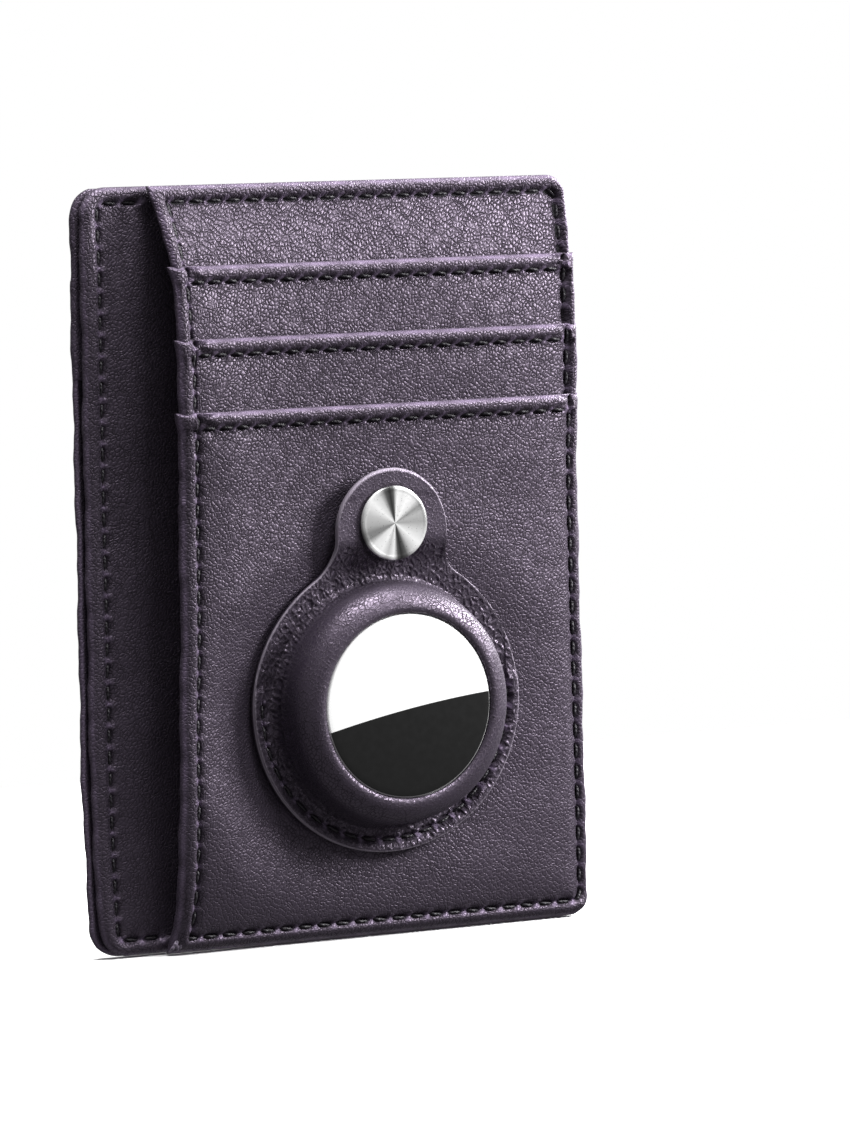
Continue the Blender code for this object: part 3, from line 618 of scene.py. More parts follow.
def thread_material(name, paleness=1.0):
    """Twisted waxed thread."""
    s = Shader(name)
    twist = s.wave("DIAGONAL", 900.0, 1.5)
    fuzz = s.noise(s.place, 6000.0, 2.0)
    deep, worn, frayed = (darker(paleness, tone) for tone in
                          ((0.005, 0.004, 0.006), (0.030, 0.025, 0.034), (0.045, 0.038, 0.05)))
    colour = s.mix(s.ramp(fuzz, 0.3, 0.8, 0.0, 0.3), s.mix(twist, deep, worn), frayed)
    return s.finish(Base_Color=colour, Normal=s.bump(twist + fuzz * 0.4, 0.05 * MM), Roughness=0.52)


def film_material(name):
    """Clear flexible film with faint ripples."""
    s = Shader(name)
    ripple = s.noise(s.place, 55.0, 2.0)
    haze = s.ramp(s.noise(s.place, 240.0), 0.45, 0.8, 0.0, 0.35)
    return s.finish(Base_Color=s.mix(haze, (0.10, 0.105, 0.11), (0.06, 0.062, 0.068)),
                    Normal=s.bump(ripple, 2.2 * MM, 0.9), Roughness=0.09, Alpha=0.32, Specular_IOR_Level=0.9)


def round_axis(s, centre_x, centre_z):
    """Angle in turns, distance, and the two offsets of each point from an axis along Y."""
    x, _, z = (s.node("ShaderNodeSeparateXYZ", axis, {0: s.place}) for axis in "XYZ")
    dx, dz = x - centre_x * MM, z - centre_z * MM
    turns = s.maths("DIVIDE", s.maths("ARCTAN2", dz, dx), 2 * math.pi)
    return s.maths("FRACT", turns + 1.0), s.maths("SQRT", dx * dx + dz * dz), dx, dz


# Painted reflection of the spun cap, bright and dark rays as lamps show in a lathe-spun finish: (turns from
# +X anticlockwise, grey value)
CAP_REFLECTION_RAYS = (
    (0.000, 0.42), (0.050, 0.50), (0.085, 0.30), (0.120, 0.80), (0.160, 1.00), (0.200, 0.85), (0.232, 1.00),
    (0.255, 0.10), (0.275, 0.02), (0.300, 0.10), (0.335, 0.70), (0.385, 1.00), (0.450, 0.60), (0.510, 0.45),
    (0.545, 0.25), (0.575, 0.25), (0.610, 0.85), (0.665, 1.00), (0.705, 0.60), (0.738, 1.00), (0.760, 0.10),
    (0.780, 0.02), (0.808, 0.10), (0.840, 0.60), (0.890, 1.00), (0.950, 0.70), (1.000, 0.42))
RING_SPACING = 0.11


def spun_steel(name, centre_x, centre_z):
    """Steel turned on a lathe: a painted reflection of rays of light and dark round the centre, and the
    finest of rings.
    """
    s = Shader(name)
    turn, radius, _, _ = round_axis(s, centre_x, centre_z)
    rays = s.node("ShaderNodeValToRGB", 0, {0: turn})
    ramp = rays.socket.node.color_ramp
    while len(ramp.elements) < len(CAP_REFLECTION_RAYS):
        ramp.elements.new(0.5)
    for stop, (position, grey) in zip(ramp.elements, CAP_REFLECTION_RAYS):
        stop.position = position
        stop.color = (grey, grey, grey, 1.0)
    rings = s.maths("SINE", radius * (2 * math.pi / (RING_SPACING * MM)))
    colour = s.mix(1.0, rays, rings * 0.02 + 0.97, "MULTIPLY")
    grain = s.noise(s.place, 3000.0, 2.0)
    return s.finish(Base_Color=colour, Roughness=s.ramp(grain, 0.2, 0.8, 0.26, 0.36),
                    Normal=s.bump(rings, 0.002 * MM, 0.5), Metallic=0.5)


def plain_steel(name, tint=(0.60, 0.60, 0.61), roughness=0.32):
    """Nickel-plated pressing with faint handling marks."""
    s = Shader(name)
    marks = s.noise(s.vector(s.place, (1.0, 4.0, 1.0)), 900.0, 4.0)
    return s.finish(Base_Color=s.mix(s.ramp(marks, 0.3, 0.8, 0.0, 0.35), tint, darker(0.7, tint)),
                    Roughness=s.ramp(marks, 0.2, 0.8, roughness - 0.08, roughness + 0.12), Metallic=1.0)


def plastic(name, tint, roughness, texture=0.004):
    """Moulded plastic with a faint surface texture."""
    s = Shader(name)
    speckle = s.noise(s.place, 2600.0, 3.0)
    return s.finish(Base_Color=s.mix(s.ramp(speckle, 0.3, 0.8, 0.0, 0.12), tint, darker(0.75, tint)),
                    Roughness=s.ramp(speckle, 0.2, 0.8, roughness - 0.03, roughness + 0.05),
                    Normal=s.bump(speckle, texture * MM))


def board(name):
    """Green solder mask with a hint of copper tracks."""
    s = Shader(name)
    tracks = s.ramp(s.cell_edges(s.place, 900.0, 1.0, "3D"), 0.0, 0.05)
    return s.finish(Base_Color=s.mix(tracks, (0.03, 0.16, 0.08), (0.008, 0.06, 0.03)),
                    Normal=s.bump(tracks, 0.01 * MM), Roughness=0.35)


# Bowed line between the painted reflection's white upper part and charcoal lower part, and the painted
# highlight round the rim
SPLIT_LEAN, SPLIT_BOW, SPLIT_DROP, SPLIT_BLUR = 0.17, -3.4, -0.35, 0.05
RIM_HIGHLIGHT = (12.72, 12.92)


def painted_reflection_cover(name):
    """Polished tag cover with a painted reflection: near-white above a gently bowed line and charcoal below,
    as a studio shows in polished steel, and a painted highlight round its rim.
    """
    s = Shader(name)
    _, radius, dx, dz = round_axis(s, TAG_X, TAG_Z)
    above = dz - (dx * SPLIT_LEAN + dx * dx * SPLIT_BOW + SPLIT_DROP * MM)
    haze = s.noise(s.place, 900.0, 2.0)
    white = s.mix(s.ramp(haze, 0.3, 0.8, 0.0, 0.05), (0.96, 0.96, 0.96), (0.88, 0.88, 0.89))
    black = s.mix(s.ramp(haze, 0.3, 0.8, 0.0, 0.25), (0.009, 0.009, 0.009), (0.011, 0.011, 0.0115))
    face = s.mix(s.ramp(above, -SPLIT_BLUR * MM, SPLIT_BLUR * MM), black, white)
    rim = s.ramp(radius, RIM_HIGHLIGHT[0] * MM, RIM_HIGHLIGHT[1] * MM)
    return s.finish(Base_Color=s.mix(rim * 0.6, face, (0.80, 0.79, 0.80)), Specular_IOR_Level=0.3,
                    Roughness=s.ramp(haze, 0.2, 0.8, 0.30, 0.36))


# ---------------------------------------------------------------- leather pieces

CORNER_REACH = 9.0
ON_RIM = 1e-6


def declare(piece, slot, body, *nodes):
    """Attaches a piece to the body it moves with and hides the CAD nodes it stands in for; slot, what it is
    made of, is not used.
    """
    if nodes:
        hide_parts(*nodes)
    if body:
        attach(piece, body)
    return piece


def dress(seams, x, z):
    """Depth, painted shade and painted pucker highlights of several seams at once."""
    depth, dark, tip = np.zeros((3, *x.shape))
    for seam in seams:
        d, k, b = seam.relief(x, z)
        depth = np.where(np.abs(d) > np.abs(depth), d, depth)
        dark, tip = np.maximum(dark, k), np.maximum(tip, b)
    return depth, dark, tip


def sheet_grid(box, round_left, round_low=True, round_high=True):
    """Grid of a panel whose rows shorten into its rounded corners."""
    low_x, high_x, low_z, high_z = box
    heights, columns = stations(low_z, high_z), stations(low_x, high_x)
    real = ((heights < HEIGHT / 2) & round_low) | ((heights > HEIGHT / 2) & round_high)

    def cut(wanted, radius, gap):
        into = np.where(wanted, rolled(np.minimum(heights, HEIGHT - heights), radius), 0.0)
        return np.outer(into, np.clip(1 - gap / CORNER_REACH, 0.0, 1.0))

    x = columns - cut(real, RIGHT_CORNER, high_x - columns)
    x = x + cut(real & round_left, LEFT_CORNER, columns - low_x)
    return x, np.repeat(heights[:, None], len(columns), 1)


def side_wave(z, seed):
    """Slow unevenness of a cut and turned edge."""
    slow = 0.10 * np.sin(0.31 * z + seed) + 0.07 * np.sin(0.83 * z + 2.1 * seed)
    return slow + 0.03 * np.sin(2.1 * z + seed)


def turned(distance):
    """1 where the leather is folded round its sewn edge, 0 inside."""
    return 1 - smooth(*TURNED_SIDE, distance)


def leather_sheet(name, box, corners, face, thick, seams, material, move, towards=-1, wear=0.0, seed=0.0):
    """A panel of leather: `face(x, z)` is its dressed side, and its body lies behind that.

    corners says whether the left side, the foot and the top have rounded corners, thick(distance, x, z)
    how thick the body is, and towards is -1 where the dressed side looks to the front.
    """
    x, z = sheet_grid(box, *corners)
    distance = outline_distance(box, corners[0], x, z)
    body, surface = thick(distance, x, z), face(x, z)
    depth, dark, tip = dress(seams, x, z)
    curl = rolled(distance, np.minimum(body / 2, EDGE_ROLL))
    # Painted highlight: a lighter line just inside each rolled edge, and on the stitch puckers
    worn = wear * bell(distance - 0.28, 0.26) * (0.75 + 0.25 * np.sin(0.9 * x + 1.3 * z)) + TIP_SHINE * tip
    relief = depth * smooth(0.0, 0.5, distance) + undulation(x, z) * smooth(0.5, 4.0, distance)
    dressed = surface - towards * (curl + relief)
    hidden = np.where(distance < ON_RIM, dressed, surface - towards * (body - curl))
    shift = side_wave(z, seed) * (1 - smooth(0.0, 1.8, distance)) * np.sign(x - (FRONT_LEFT + RIGHT) / 2)
    moved = x + (shift + move(x, z))
    faces = (dressed, hidden) if towards < 0 else (hidden, dressed)
    u, v = unrolled(moved, surface - towards * curl, z)
    return two_sided(name, moved, z, *faces, material, dark=dark, wear=np.clip(worn, 0, 1), u=u, v=v)


def build_front_sheet(name, key, seed, material):
    layer = FRONT_LAYERS[key]
    panel, base = key == "panel", key == "base"
    box = (FRONT_LEFT - 0.25 + layer["left"] * 0.5, RIGHT - layer["right"],
           0.0 if panel else layer["low"] - UNDERLAP, layer["top"])
    low_x, high_x, low_z, high_z = box
    sewn = (low_x, high_x, low_z if panel else -99.0, high_z if base else 999.0)

    def thick(_, x, z):
        near_side = turned(outline_distance(sewn, False, x, z))
        near_slot = 0 * x if base else 1 - smooth(*TURNED_SLOT, high_z - z)
        near_under = 0 * x if panel else 1 - smooth(0.0, 2.0, z - low_z)
        full = layer["thick"] + np.maximum((layer["edge"] - 0.04 - layer["thick"]) * near_side,
                                           (1.05 - layer["thick"]) * near_slot)
        return full * (1 - 0.6 * near_under)

    def move(x, z):
        tip = bell(high_z - z, 2.0) * (1 - smooth(0.0, 2.6, x - low_x)) * (high_z < HEIGHT)
        return drawn_in(x, z) - COLLAR_TIP * tip

    seams = [FRONT_SEAM] if base else [FRONT_SEAM, SLOT_SEAMS[key]]
    return leather_sheet(name, box, (False, panel, base), lambda x, z: front_y(layer, x, z), thick, seams,
                         material, move, wear=0.8, seed=seed)


def build_front_group(top_leather, body_leather, lining):
    for name, key, seed, node in (("Front_base_leather", "base", 0.4, "front_base_panel"),
                                  ("Upper_pocket_leather", "upper", 1.3, "upper_card_pocket"),
                                  ("Middle_pocket_leather", "middle", 2.2, "middle_card_pocket"),
                                  ("Front_panel_leather", "panel", 3.1, "front_panel")):
        sheet = build_front_sheet(name, key, seed, top_leather if key == "base" else body_leather)
        declare(sheet, "leather", "wallet", node)
    box = (FRONT_LEFT + LINING_INSET, RIGHT - LINING_INSET, LINING_INSET, HEIGHT - LINING_INSET)
    x, z = sheet_grid(box, False)
    face = front_y(dict(edge=0.5, inner=0.5, puff=BASE_PUFF, top=HEIGHT), x, z)
    back = np.where(outline_distance(box, False, x, z) < ON_RIM, face, face + 0.38)
    made = two_sided("Centre_pocket_lining", x + drawn_in(x, z), z, face, back, lining)
    declare(made, "lining_cloth", "wallet", "front_lining")


def build_back_group(body_leather, inner_leather, dark_leather, film):
    base, pocket = BACK_LAYERS["base"], BACK_LAYERS["pocket"]
    inner_piece = leather_sheet("Inner_panel_leather", (LEFT + INNER_INSET, RIGHT, 0.0, HEIGHT),
                                (True, True, True), strip_y, lambda gap, x, z: 0.95 + 0.65 * turned(gap),
                                [LEFT_SEAM], inner_leather, swollen_side, wear=0.5, seed=4.0)
    declare(inner_piece, "leather", "wallet", "inner_panel")
    low_z = SLOT_BACK - 14.0
    base_piece = leather_sheet("Back_base_leather", (LEFT, RIGHT - 0.15, low_z, HEIGHT - 0.15),
                               (True, False, True), upper_back,
                               lambda gap, x, z: 0.95 + 0.35 * turned(gap), [BACK_SEAM], body_leather,
                               swollen_side, towards=1, wear=0.3)
    declare(base_piece, "leather", "wallet", "back_base_panel")
    rest = (LEFT + 3.0, RIGHT - 3.0, 3.0, low_z + 2.0)
    x, z = sheet_grid(rest, True, False, False)
    under = back_near_y(base, x, z)
    behind = np.where(outline_distance(rest, False, x, z) < ON_RIM, under, under + base["thick"])
    declare(two_sided("Back_base_behind_window", x, z, under, behind, dark_leather, u=x, v=z),
            "leather_dark", "wallet")
    declare(build_back_pocket(pocket, body_leather), "leather", "wallet", "back_pocket_panel")
    declare(build_film(pocket, film), "clear_film", "wallet", "id_window_film")


def loop_samples(low_x, high_x, low_z, high_z, radii, side=110, corner=26):
    """Points round a rectangle with a radius for each corner, so spaced that two loops match up."""
    corners = ((high_x, low_z, -1, 1), (high_x, high_z, -1, -1),
               (low_x, high_z, 1, -1), (low_x, low_z, 1, 1))
    arcs = []
    for k, ((x, z, sx, sz), radius) in enumerate(zip(corners, radii)):
        angles = np.radians(np.linspace(90 * k - 90, 90 * k, corner))
        arcs.append(np.stack([x + sx * radius + radius * np.cos(angles),
                              z + sz * radius + radius * np.sin(angles)], -1))
    loop = []
    t = np.linspace(0, 1, side + 2)[1:-1, None]
    for arc_now, arc_next in zip(arcs, arcs[1:] + arcs[:1]):
        loop += [arc_now, arc_now[-1] * (1 - t) + arc_next[0] * t]
    return np.vstack(loop)


def box_gap(x, z, low_x, high_x, low_z, high_z, radius):
    """Signed distance outside a rounded rectangle."""
    dx = np.abs(x - (low_x + high_x) / 2) - (high_x - low_x) / 2 + radius
    dz = np.abs(z - (low_z + high_z) / 2) - (high_z - low_z) / 2 + radius
    outside = np.hypot(np.maximum(dx, 0), np.maximum(dz, 0))
    return outside + np.minimum(np.maximum(dx, dz), 0) - radius


FRAME_WIDTH = 11.4


def build_back_pocket(pocket, material):
    """The back pocket: one ring of leather between the window's opening and the wallet's edges."""
    outer = loop_samples(LEFT, RIGHT, 0.0, SLOT_BACK, (RIGHT_CORNER, 0.6, 0.6, LEFT_CORNER))
    inner = loop_samples(*WINDOW, (WINDOW_CORNER,) * 4)
    share = stations(0.0, FRAME_WIDTH, 0.5)[:, None] / FRAME_WIDTH
    x, z = (inner[None, :, k] + share * (outer - inner)[None, :, k] for k in (0, 1))
    from_side = np.minimum(np.minimum(x - LEFT, RIGHT - x), z)
    from_edge = np.minimum(from_side, SLOT_BACK - z)
    for sign, radius in ((-1, LEFT_CORNER), (1, RIGHT_CORNER)):
        dx, dz = sign * x - (RIGHT - radius), radius - z
        from_edge = np.where((dx > 0) & (dz > 0), radius - np.hypot(dx, dz), from_edge)
    from_edge = np.maximum(from_edge, 0.0)
    distance = np.minimum(np.maximum(box_gap(x, z, *WINDOW, WINDOW_CORNER), 0.0), from_edge)
    near_side, near_slot = turned(from_side), 1 - smooth(*TURNED_SLOT, SLOT_BACK - z)
    thick = pocket["thick"] + np.maximum(0.45 * near_side, 0.25 * near_slot)
    curl = rolled(distance, np.minimum(thick / 2, EDGE_ROLL))
    depth, dark, tip = dress([BACK_SEAM, BACK_SLOT_SEAM, WINDOW_SEAM], x, z)
    outer_face = outer_back(x, np.minimum(z, SLOT_BACK)) + 0.1 * near_side
    face = outer_face - curl - depth * smooth(0.0, 0.5, distance)
    face = face - undulation(x, z) * smooth(0.5, 4.0, distance)
    inside = np.where(grid_rim(x.shape, sides=False), face, outer_face - thick + curl)
    # Painted highlight on the rolled edges and stitch puckers
    wear = 0.6 * bell(distance - 0.28, 0.26) + TIP_SHINE * tip
    x = x + swollen_side(x, z) + np.sign(x) * side_wave(z, 0.0) * (1 - smooth(0.0, 1.8, from_edge))
    x, z, inside, face, dark, wear = (values[::-1] for values in (x, z, inside, face, dark, wear))
    return two_sided("Back_pocket_leather", x, z, inside, face, material, periodic=True, dark=dark, wear=wear,
                     u=x, v=z)


def build_film(pocket, material):
    x, z = np.meshgrid(np.linspace(WINDOW_LOW[0], WINDOW_HIGH[0], 121),
                       np.linspace(WINDOW_LOW[2], WINDOW_HIGH[2], 151))
    ripple = 0.05 * np.sin(0.24 * x + 0.5) * np.sin(0.19 * z) + 0.03 * np.sin(0.6 * x + 0.35 * z)
    face = back_near_y(pocket, x, z) - 0.06 + ripple
    return two_sided("Window_film", x, z, np.where(grid_rim(x.shape), face, face - 0.2), face, material)


# ---------------------------------------------------------------- stitches

THREAD_SIDES = 8
CROSSING_GAP = 1.2
STITCH_SHARE = 0.72


def round_threads(name, lines, material):
    """Short lengths of round thread with tapered ends, one along each line of (x, y, z) points."""
    turn = np.linspace(0, 2 * math.pi, THREAD_SIDES, endpoint=False)[None, :, None]
    points, faces, made_points = [], [], 0
    for line in lines:
        t = np.linspace(-1, 1, len(line))
        along = line[-1] - line[0]
        side_axis = np.array([along[2], 0.0, -along[0]]) / np.hypot(along[0], along[2])
        radius = THREAD_RADIUS * np.sqrt(np.maximum(0.05, 1 - np.abs(t) ** 6))
        ring = (line[:, None, :] + radius[:, None, None]
                * (np.cos(turn) * side_axis + np.sin(turn) * np.array([0.0, 1.0, 0.0])))
        points.append(ring.reshape(-1, 3))
        index = made_points + np.arange(ring.size // 3).reshape(-1, THREAD_SIDES)
        faces.append(grid_quads(index, periodic=True))
        made_points += ring.size // 3
    return mesh_object(name, np.vstack(points), np.vstack(faces), material)


def unmoved(x, _):
    return 0.0 * x


def build_stitches(name, seam, surface, outward, crossings, move, material):
    """Short slanted loops of thread, one to each stitch, each sunk at both ends."""
    t = np.linspace(-0.5, 0.5, 9)
    lines = []
    for i in range(seam.count):
        middle, along = seam.point((i + 0.5) * seam.pitch)
        if any(abs(middle[1] - height) < CROSSING_GAP for height in crossings):
            continue
        direction = along + np.array([along[1], -along[0]]) * (seam.slant + 0.06 * math.sin(2.3 * i))
        direction /= np.hypot(*direction)
        x, z = (middle + np.outer(t, direction) * seam.pitch * STITCH_SHARE).T
        y = surface(x, z) - outward * (STITCH_SINK + 0.4 * np.abs(2 * t) ** 3)
        lines.append(np.stack([x + move(x, z), y, z], -1))
    return round_threads(name, lines, material)


def build_all_stitches(waxed, worn):
    slots = (SLOT_UPPER, SLOT_MIDDLE, SLOT_LOWER)
    for name, seam, surface, outward, crossings, move in (
            ("Front_seam", FRONT_SEAM, visible_front, -1, slots, drawn_in),
            ("Back_seam", BACK_SEAM, outer_back, 1, [SLOT_BACK], swollen_side),
            ("Left_seam", LEFT_SEAM, strip_y, -1, (), swollen_side),
            ("Upper_slot", SLOT_SEAMS["upper"], visible_front, -1, (), drawn_in),
            ("Middle_slot", SLOT_SEAMS["middle"], visible_front, -1, (), drawn_in),
            ("Lower_slot", SLOT_SEAMS["panel"], visible_front, -1, (), drawn_in),
            ("Back_slot", BACK_SLOT_SEAM, outer_back, 1, (), unmoved),
            ("Window", WINDOW_SEAM, outer_back, 1, (), unmoved),
            ("Holder", FLANGE_SEAM, flange_top, -1, (), unmoved)):
        made = build_stitches(name + "_stitches", seam, surface, outward, crossings, move, waxed)
        declare(made, "thread", "wallet", name.lower() + "_thread")
    build_tack("Free_edge_tack", worn)


def build_tack(name, material):
    """A few turns of thread over the foot of the free edge, where its stitching ends."""
    t = np.linspace(-1, 1, 9)
    lines = []
    for i in range(TACK_TURNS):
        x = FRONT_LEFT - 0.15 + 0.36 * i + (0.45 - 0.2 * i) * t
        z = 1.15 + 0.25 * math.sin(2.1 * i) + (0.95 - 0.15 * i) * t
        surface = front_y(FRONT_LAYERS["panel"], np.maximum(x, FRONT_LEFT), np.maximum(z, 0.3))
        lines.append(np.stack([x + drawn_in(x, z), surface - 0.22 + 0.65 * np.abs(t) ** 4, z], -1))
    declare(round_threads(name, lines, material), "thread", "wallet")


# ---------------------------------------------------------------- tag holder

PANEL_Y = float(box_mm("tag_shell")[1][1]) - 1.7
TAB_RAISE = 1.35
TAB_EDGE = 0.16
FLANGE_FOOT = 17.3
HOLDER_SKIN = 1.12
HOLDER_AROUND, TAB_RINGS, DOME_OUTER_RINGS = 720, 44, 36
# Section of the dome from its foot over the rolled lip and back down inside: (radius, height)
DOME_PROFILE = (
    (17.3, 1.16), (17.08, 1.6), (16.98, 2.7), (16.7, 4.0), (15.95, 5.3), (14.85, 6.1), (13.95, 6.4),
    (13.35, 6.3), (13.08, 5.95), (13.25, 5.5), (14.0, 5.25), (14.95, 4.6), (15.7, 3.6), (16.1, 2.3),
    (16.2, 0.9), (16.5, 0.1))
STITCH_RADIUS = FLANGE_RADIUS - 1.75
FLANGE_SEAM = Seam(arc(TAG_X, TAG_Z, STITCH_RADIUS, 176, 364, 90), slant=0.10)


def spline(points, per_span):
    """Closed Catmull-Rom curve through 2-D points."""
    p = np.array(points, float)
    before, after, beyond = np.roll(p, 1, 0), np.roll(p, -1, 0), np.roll(p, -2, 0)
    t = np.linspace(0, 1, per_span, endpoint=False)[:, None, None]
    curve = 0.5 * (2 * p + (after - before) * t + (2 * before - 5 * p + 4 * after - beyond) * t ** 2
                   + (3 * p - before - 3 * after + beyond) * t ** 3)
    return curve.transpose(1, 0, 2).reshape(-1, 2)


def tab_outline_radius(angles):
    """Distance from the tag's centre to the holder's outline, in each direction."""
    top = TAB_TOP - TAG_Z
    cap_z = top - TAB_HALF_WIDTH
    neck_x = TAB_HALF_WIDTH + NECK_RADIUS
    neck_z = math.sqrt((FLANGE_RADIUS + NECK_RADIUS) ** 2 - neck_x ** 2)
    radii = np.arange(FLANGE_RADIUS - 0.6, top + 0.4, 0.01)
    out = np.empty(len(angles))
    for i, a in enumerate(angles):
        x, z = radii * abs(math.cos(a)), radii * math.sin(a)
        inside = radii <= FLANGE_RADIUS
        inside |= (z > 0) & (x <= TAB_HALF_WIDTH) & (z <= cap_z)
        inside |= np.hypot(x, z - cap_z) <= TAB_HALF_WIDTH
        in_neck = (z > 0) & (z < neck_z) & (x < neck_x) & (x * neck_z < neck_x * z + 1e-9)
        inside |= in_neck & (np.hypot(x - neck_x, z - neck_z) >= NECK_RADIUS)
        out[i] = radii[inside].max()
    return out


def holder_ground(x, z):
    """Y of the face under the holder: square under the dome, and the front panel's own outside it."""
    panel = front_y(FRONT_LAYERS["panel"], x, z)
    follow = smooth(TAG_RADIUS + 0.7, TAG_RADIUS + 2.2, np.hypot(x - TAG_X, z - TAG_Z))
    return PANEL_Y + follow * (panel - PANEL_Y)


def flange_top(x, z):
    return holder_ground(x, z) - HOLDER_SKIN


def build_holder(material):
    """Moulded leather: round flange, tall dome with a rolled lip, and the snap tab in one piece."""
    angles = np.linspace(0, 2 * math.pi, HOLDER_AROUND, endpoint=False) + math.pi / HOLDER_AROUND
    cos, sin = np.cos(angles), np.sin(angles)
    reach = tab_outline_radius(angles)
    share = np.linspace(0, 1, TAB_RINGS)

    def heights_at(radius):
        """Underside and outer face of the flange and the raised tab."""
        x, z = TAG_X + radius * cos, TAG_Z + radius * sin
        beside = smooth(TAB_HALF_WIDTH, TAB_HALF_WIDTH + 3.0, np.abs(x - TAG_X))
        raised = TAB_RAISE * smooth(19.0, 23.5, z - TAG_Z) * (1 - beside)
        return 0.1 + raised, HOLDER_SKIN + raised + 0.1 * (radius > 30)

    def ring(foot, t, side):
        radius = foot + (reach - TAB_EDGE - foot) * t
        return radius, heights_at(radius)[side]

    # Outer face from the outline to the foot of the dome, the dome, the underside, and the cut edge
    rings = [ring(FLANGE_FOOT + 0.15, t, 1) for t in share[::-1]]
    rings += [np.full((HOLDER_AROUND, 2), section).T for section in spline(DOME_PROFILE, 5)[:-4]]
    rings += [ring(FLANGE_FOOT, t, 0) for t in share[::4]]
    low, high = heights_at(reach)
    for t in np.linspace(-1, 1, 7):
        rings.append((reach - TAB_EDGE * (1 - math.cos(math.pi / 2 * t)),
                      (low + high) / 2 + (high - low) * 0.49 * t))
    radius, height = np.array(rings).transpose(1, 0, 2)
    x, z = TAG_X + radius * cos, TAG_Z + radius * sin
    flange = smooth(FLANGE_FOOT - 0.3, FLANGE_FOOT + 0.4, radius)
    outer = np.zeros(radius.shape, bool)
    outer[:TAB_RINGS + DOME_OUTER_RINGS] = True
    from_outline = np.clip(reach - radius, 0.0, 99.0)
    depth, dark, tip = FLANGE_SEAM.relief(x, z)
    # Painted shadow: a dark ring on the tab round the snap cap
    dark = np.maximum(dark, bell(np.hypot(x - TAG_X, z - SNAP_Z) - CAP_RADIUS - 0.12, 0.2))
    turn = np.arctan2(z - TAG_Z, x - TAG_X)
    folds = (0.10 * np.sin(37 * turn + 3 * np.sin(3 * turn))
             + 0.07 * np.sin(61 * turn + 1.0 + 2 * np.sin(5 * turn))
             + 0.05 * np.sin(23 * turn + 0.7 * radius))
    round_part = flange * (radius < 23.5)
    fold_zone = round_part * smooth(0.3, 1.4, from_outline)
    wall_zone = smooth(17.2, 17.7, radius) * (1 - smooth(18.4, 19.4, radius))
    wall_zone = wall_zone + 0.4 * smooth(2.5, 1.2, height)
    ripple = folds * fold_zone * 0.9 + 0.06 * np.sin(29 * turn + 2.0) * np.clip(wall_zone, 0, 1)
    y = holder_ground(x, z) - (height - np.where(outer, depth * flange - 0.5 * ripple, 0.0))
    # Painted highlight along the cut edge of the flange and tab
    cut = np.clip(bell(from_outline - 0.10, 0.13), 0, 1) * (height > 0.9)
    index = np.arange(radius.size).reshape(radius.shape)
    faces = grid_quads(np.vstack([index, index[:1]]), periodic=True)[:, ::-1]
    run = np.hypot(np.diff(radius, axis=0), np.diff(height, axis=0)).cumsum(0)
    spread = radius[:1] - np.vstack([0 * reach, run])
    made = mesh_object("Holder_leather", np.stack([x, y, z], -1).reshape(-1, 3), faces, material,
                       dark=np.where(outer, dark, 0), u=spread * cos, v=spread * sin,
                       wear=np.where(outer, TIP_SHINE * tip, 0), shine=cut,
                       crinkle=np.where(outer, np.clip(fold_zone + 0.5 * round_part, 0, 1), 0.0))
    declare(made, "leather", None, "holder_lower", "holder_upper")
    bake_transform(made)


# ---------------------------------------------------------------- turned metal and plastic

LATHE_AROUND = 160


def lathe(name, profile, material, x, y, z):
    """A body turned about an axis along Y; profile is (radius, height), from axis to axis."""
    angles = np.linspace(0, 2 * math.pi, LATHE_AROUND, endpoint=False)
    cos, sin = np.cos(angles), np.sin(angles)
    points, rings, faces = [], [], []
    for r, h in profile:
        first = len(points)
        count = LATHE_AROUND if r > 1e-9 else 1
        rings.append([first + i % count for i in range(LATHE_AROUND)])
        points += [(x + r * c, y - h, z + r * s) for c, s in zip(cos[:count], sin[:count])]
    for low, high in zip(rings, rings[1:]):
        for i in range(LATHE_AROUND):
            j = (i + 1) % LATHE_AROUND
            faces.append(list(dict.fromkeys((low[i], low[j], high[j], high[i])))[::-1])
    mesh = bpy.data.meshes.new(name)
    mesh.from_pydata(np.array(points) * MM, [], faces)
    return add_object(name, mesh, material)


def rounded_profile(profile, radius, steps=4):
    """Rounds the corners of a profile that starts and ends on the axis."""
    p = [np.array(q, float) for q in profile]
    out = [p[0]]
    for before, q, after in zip(p, p[1:], p[2:]):
        a, b = before - q, after - q
        la, lb = np.hypot(*a), np.hypot(*b)
        cut = min(radius, 0.45 * la, 0.45 * lb)
        start, end = q + a / la * cut, q + b / lb * cut
        out += [(1 - t) ** 2 * start + 2 * t * (1 - t) * q + t ** 2 * end for t in np.linspace(0, 1, steps)]
    return out + [p[-1]]


def build_snap_cap(material):
    """Domed cap, rolled over at its rim."""
    tall = CAP_BACK - box_mm("snap_cap")[0][1]
    profile = [(0.0, 0.0), (CAP_RADIUS - 0.15, 0.0), (CAP_RADIUS, 0.2), (CAP_RADIUS, tall * 0.55),
               (CAP_RADIUS - 0.12, tall * 0.85), (CAP_RADIUS - 0.45, tall * 0.98),
               (CAP_RADIUS - 0.75, tall * 0.92), (CAP_RADIUS * 0.5, tall * 0.97), (0.0, tall)]
    made = lathe("Snap_cap", rounded_profile(profile, 0.15), material, TAG_X, CAP_BACK, SNAP_Z)
    declare(made, "brushed_steel", "holder_flap", "snap_cap")


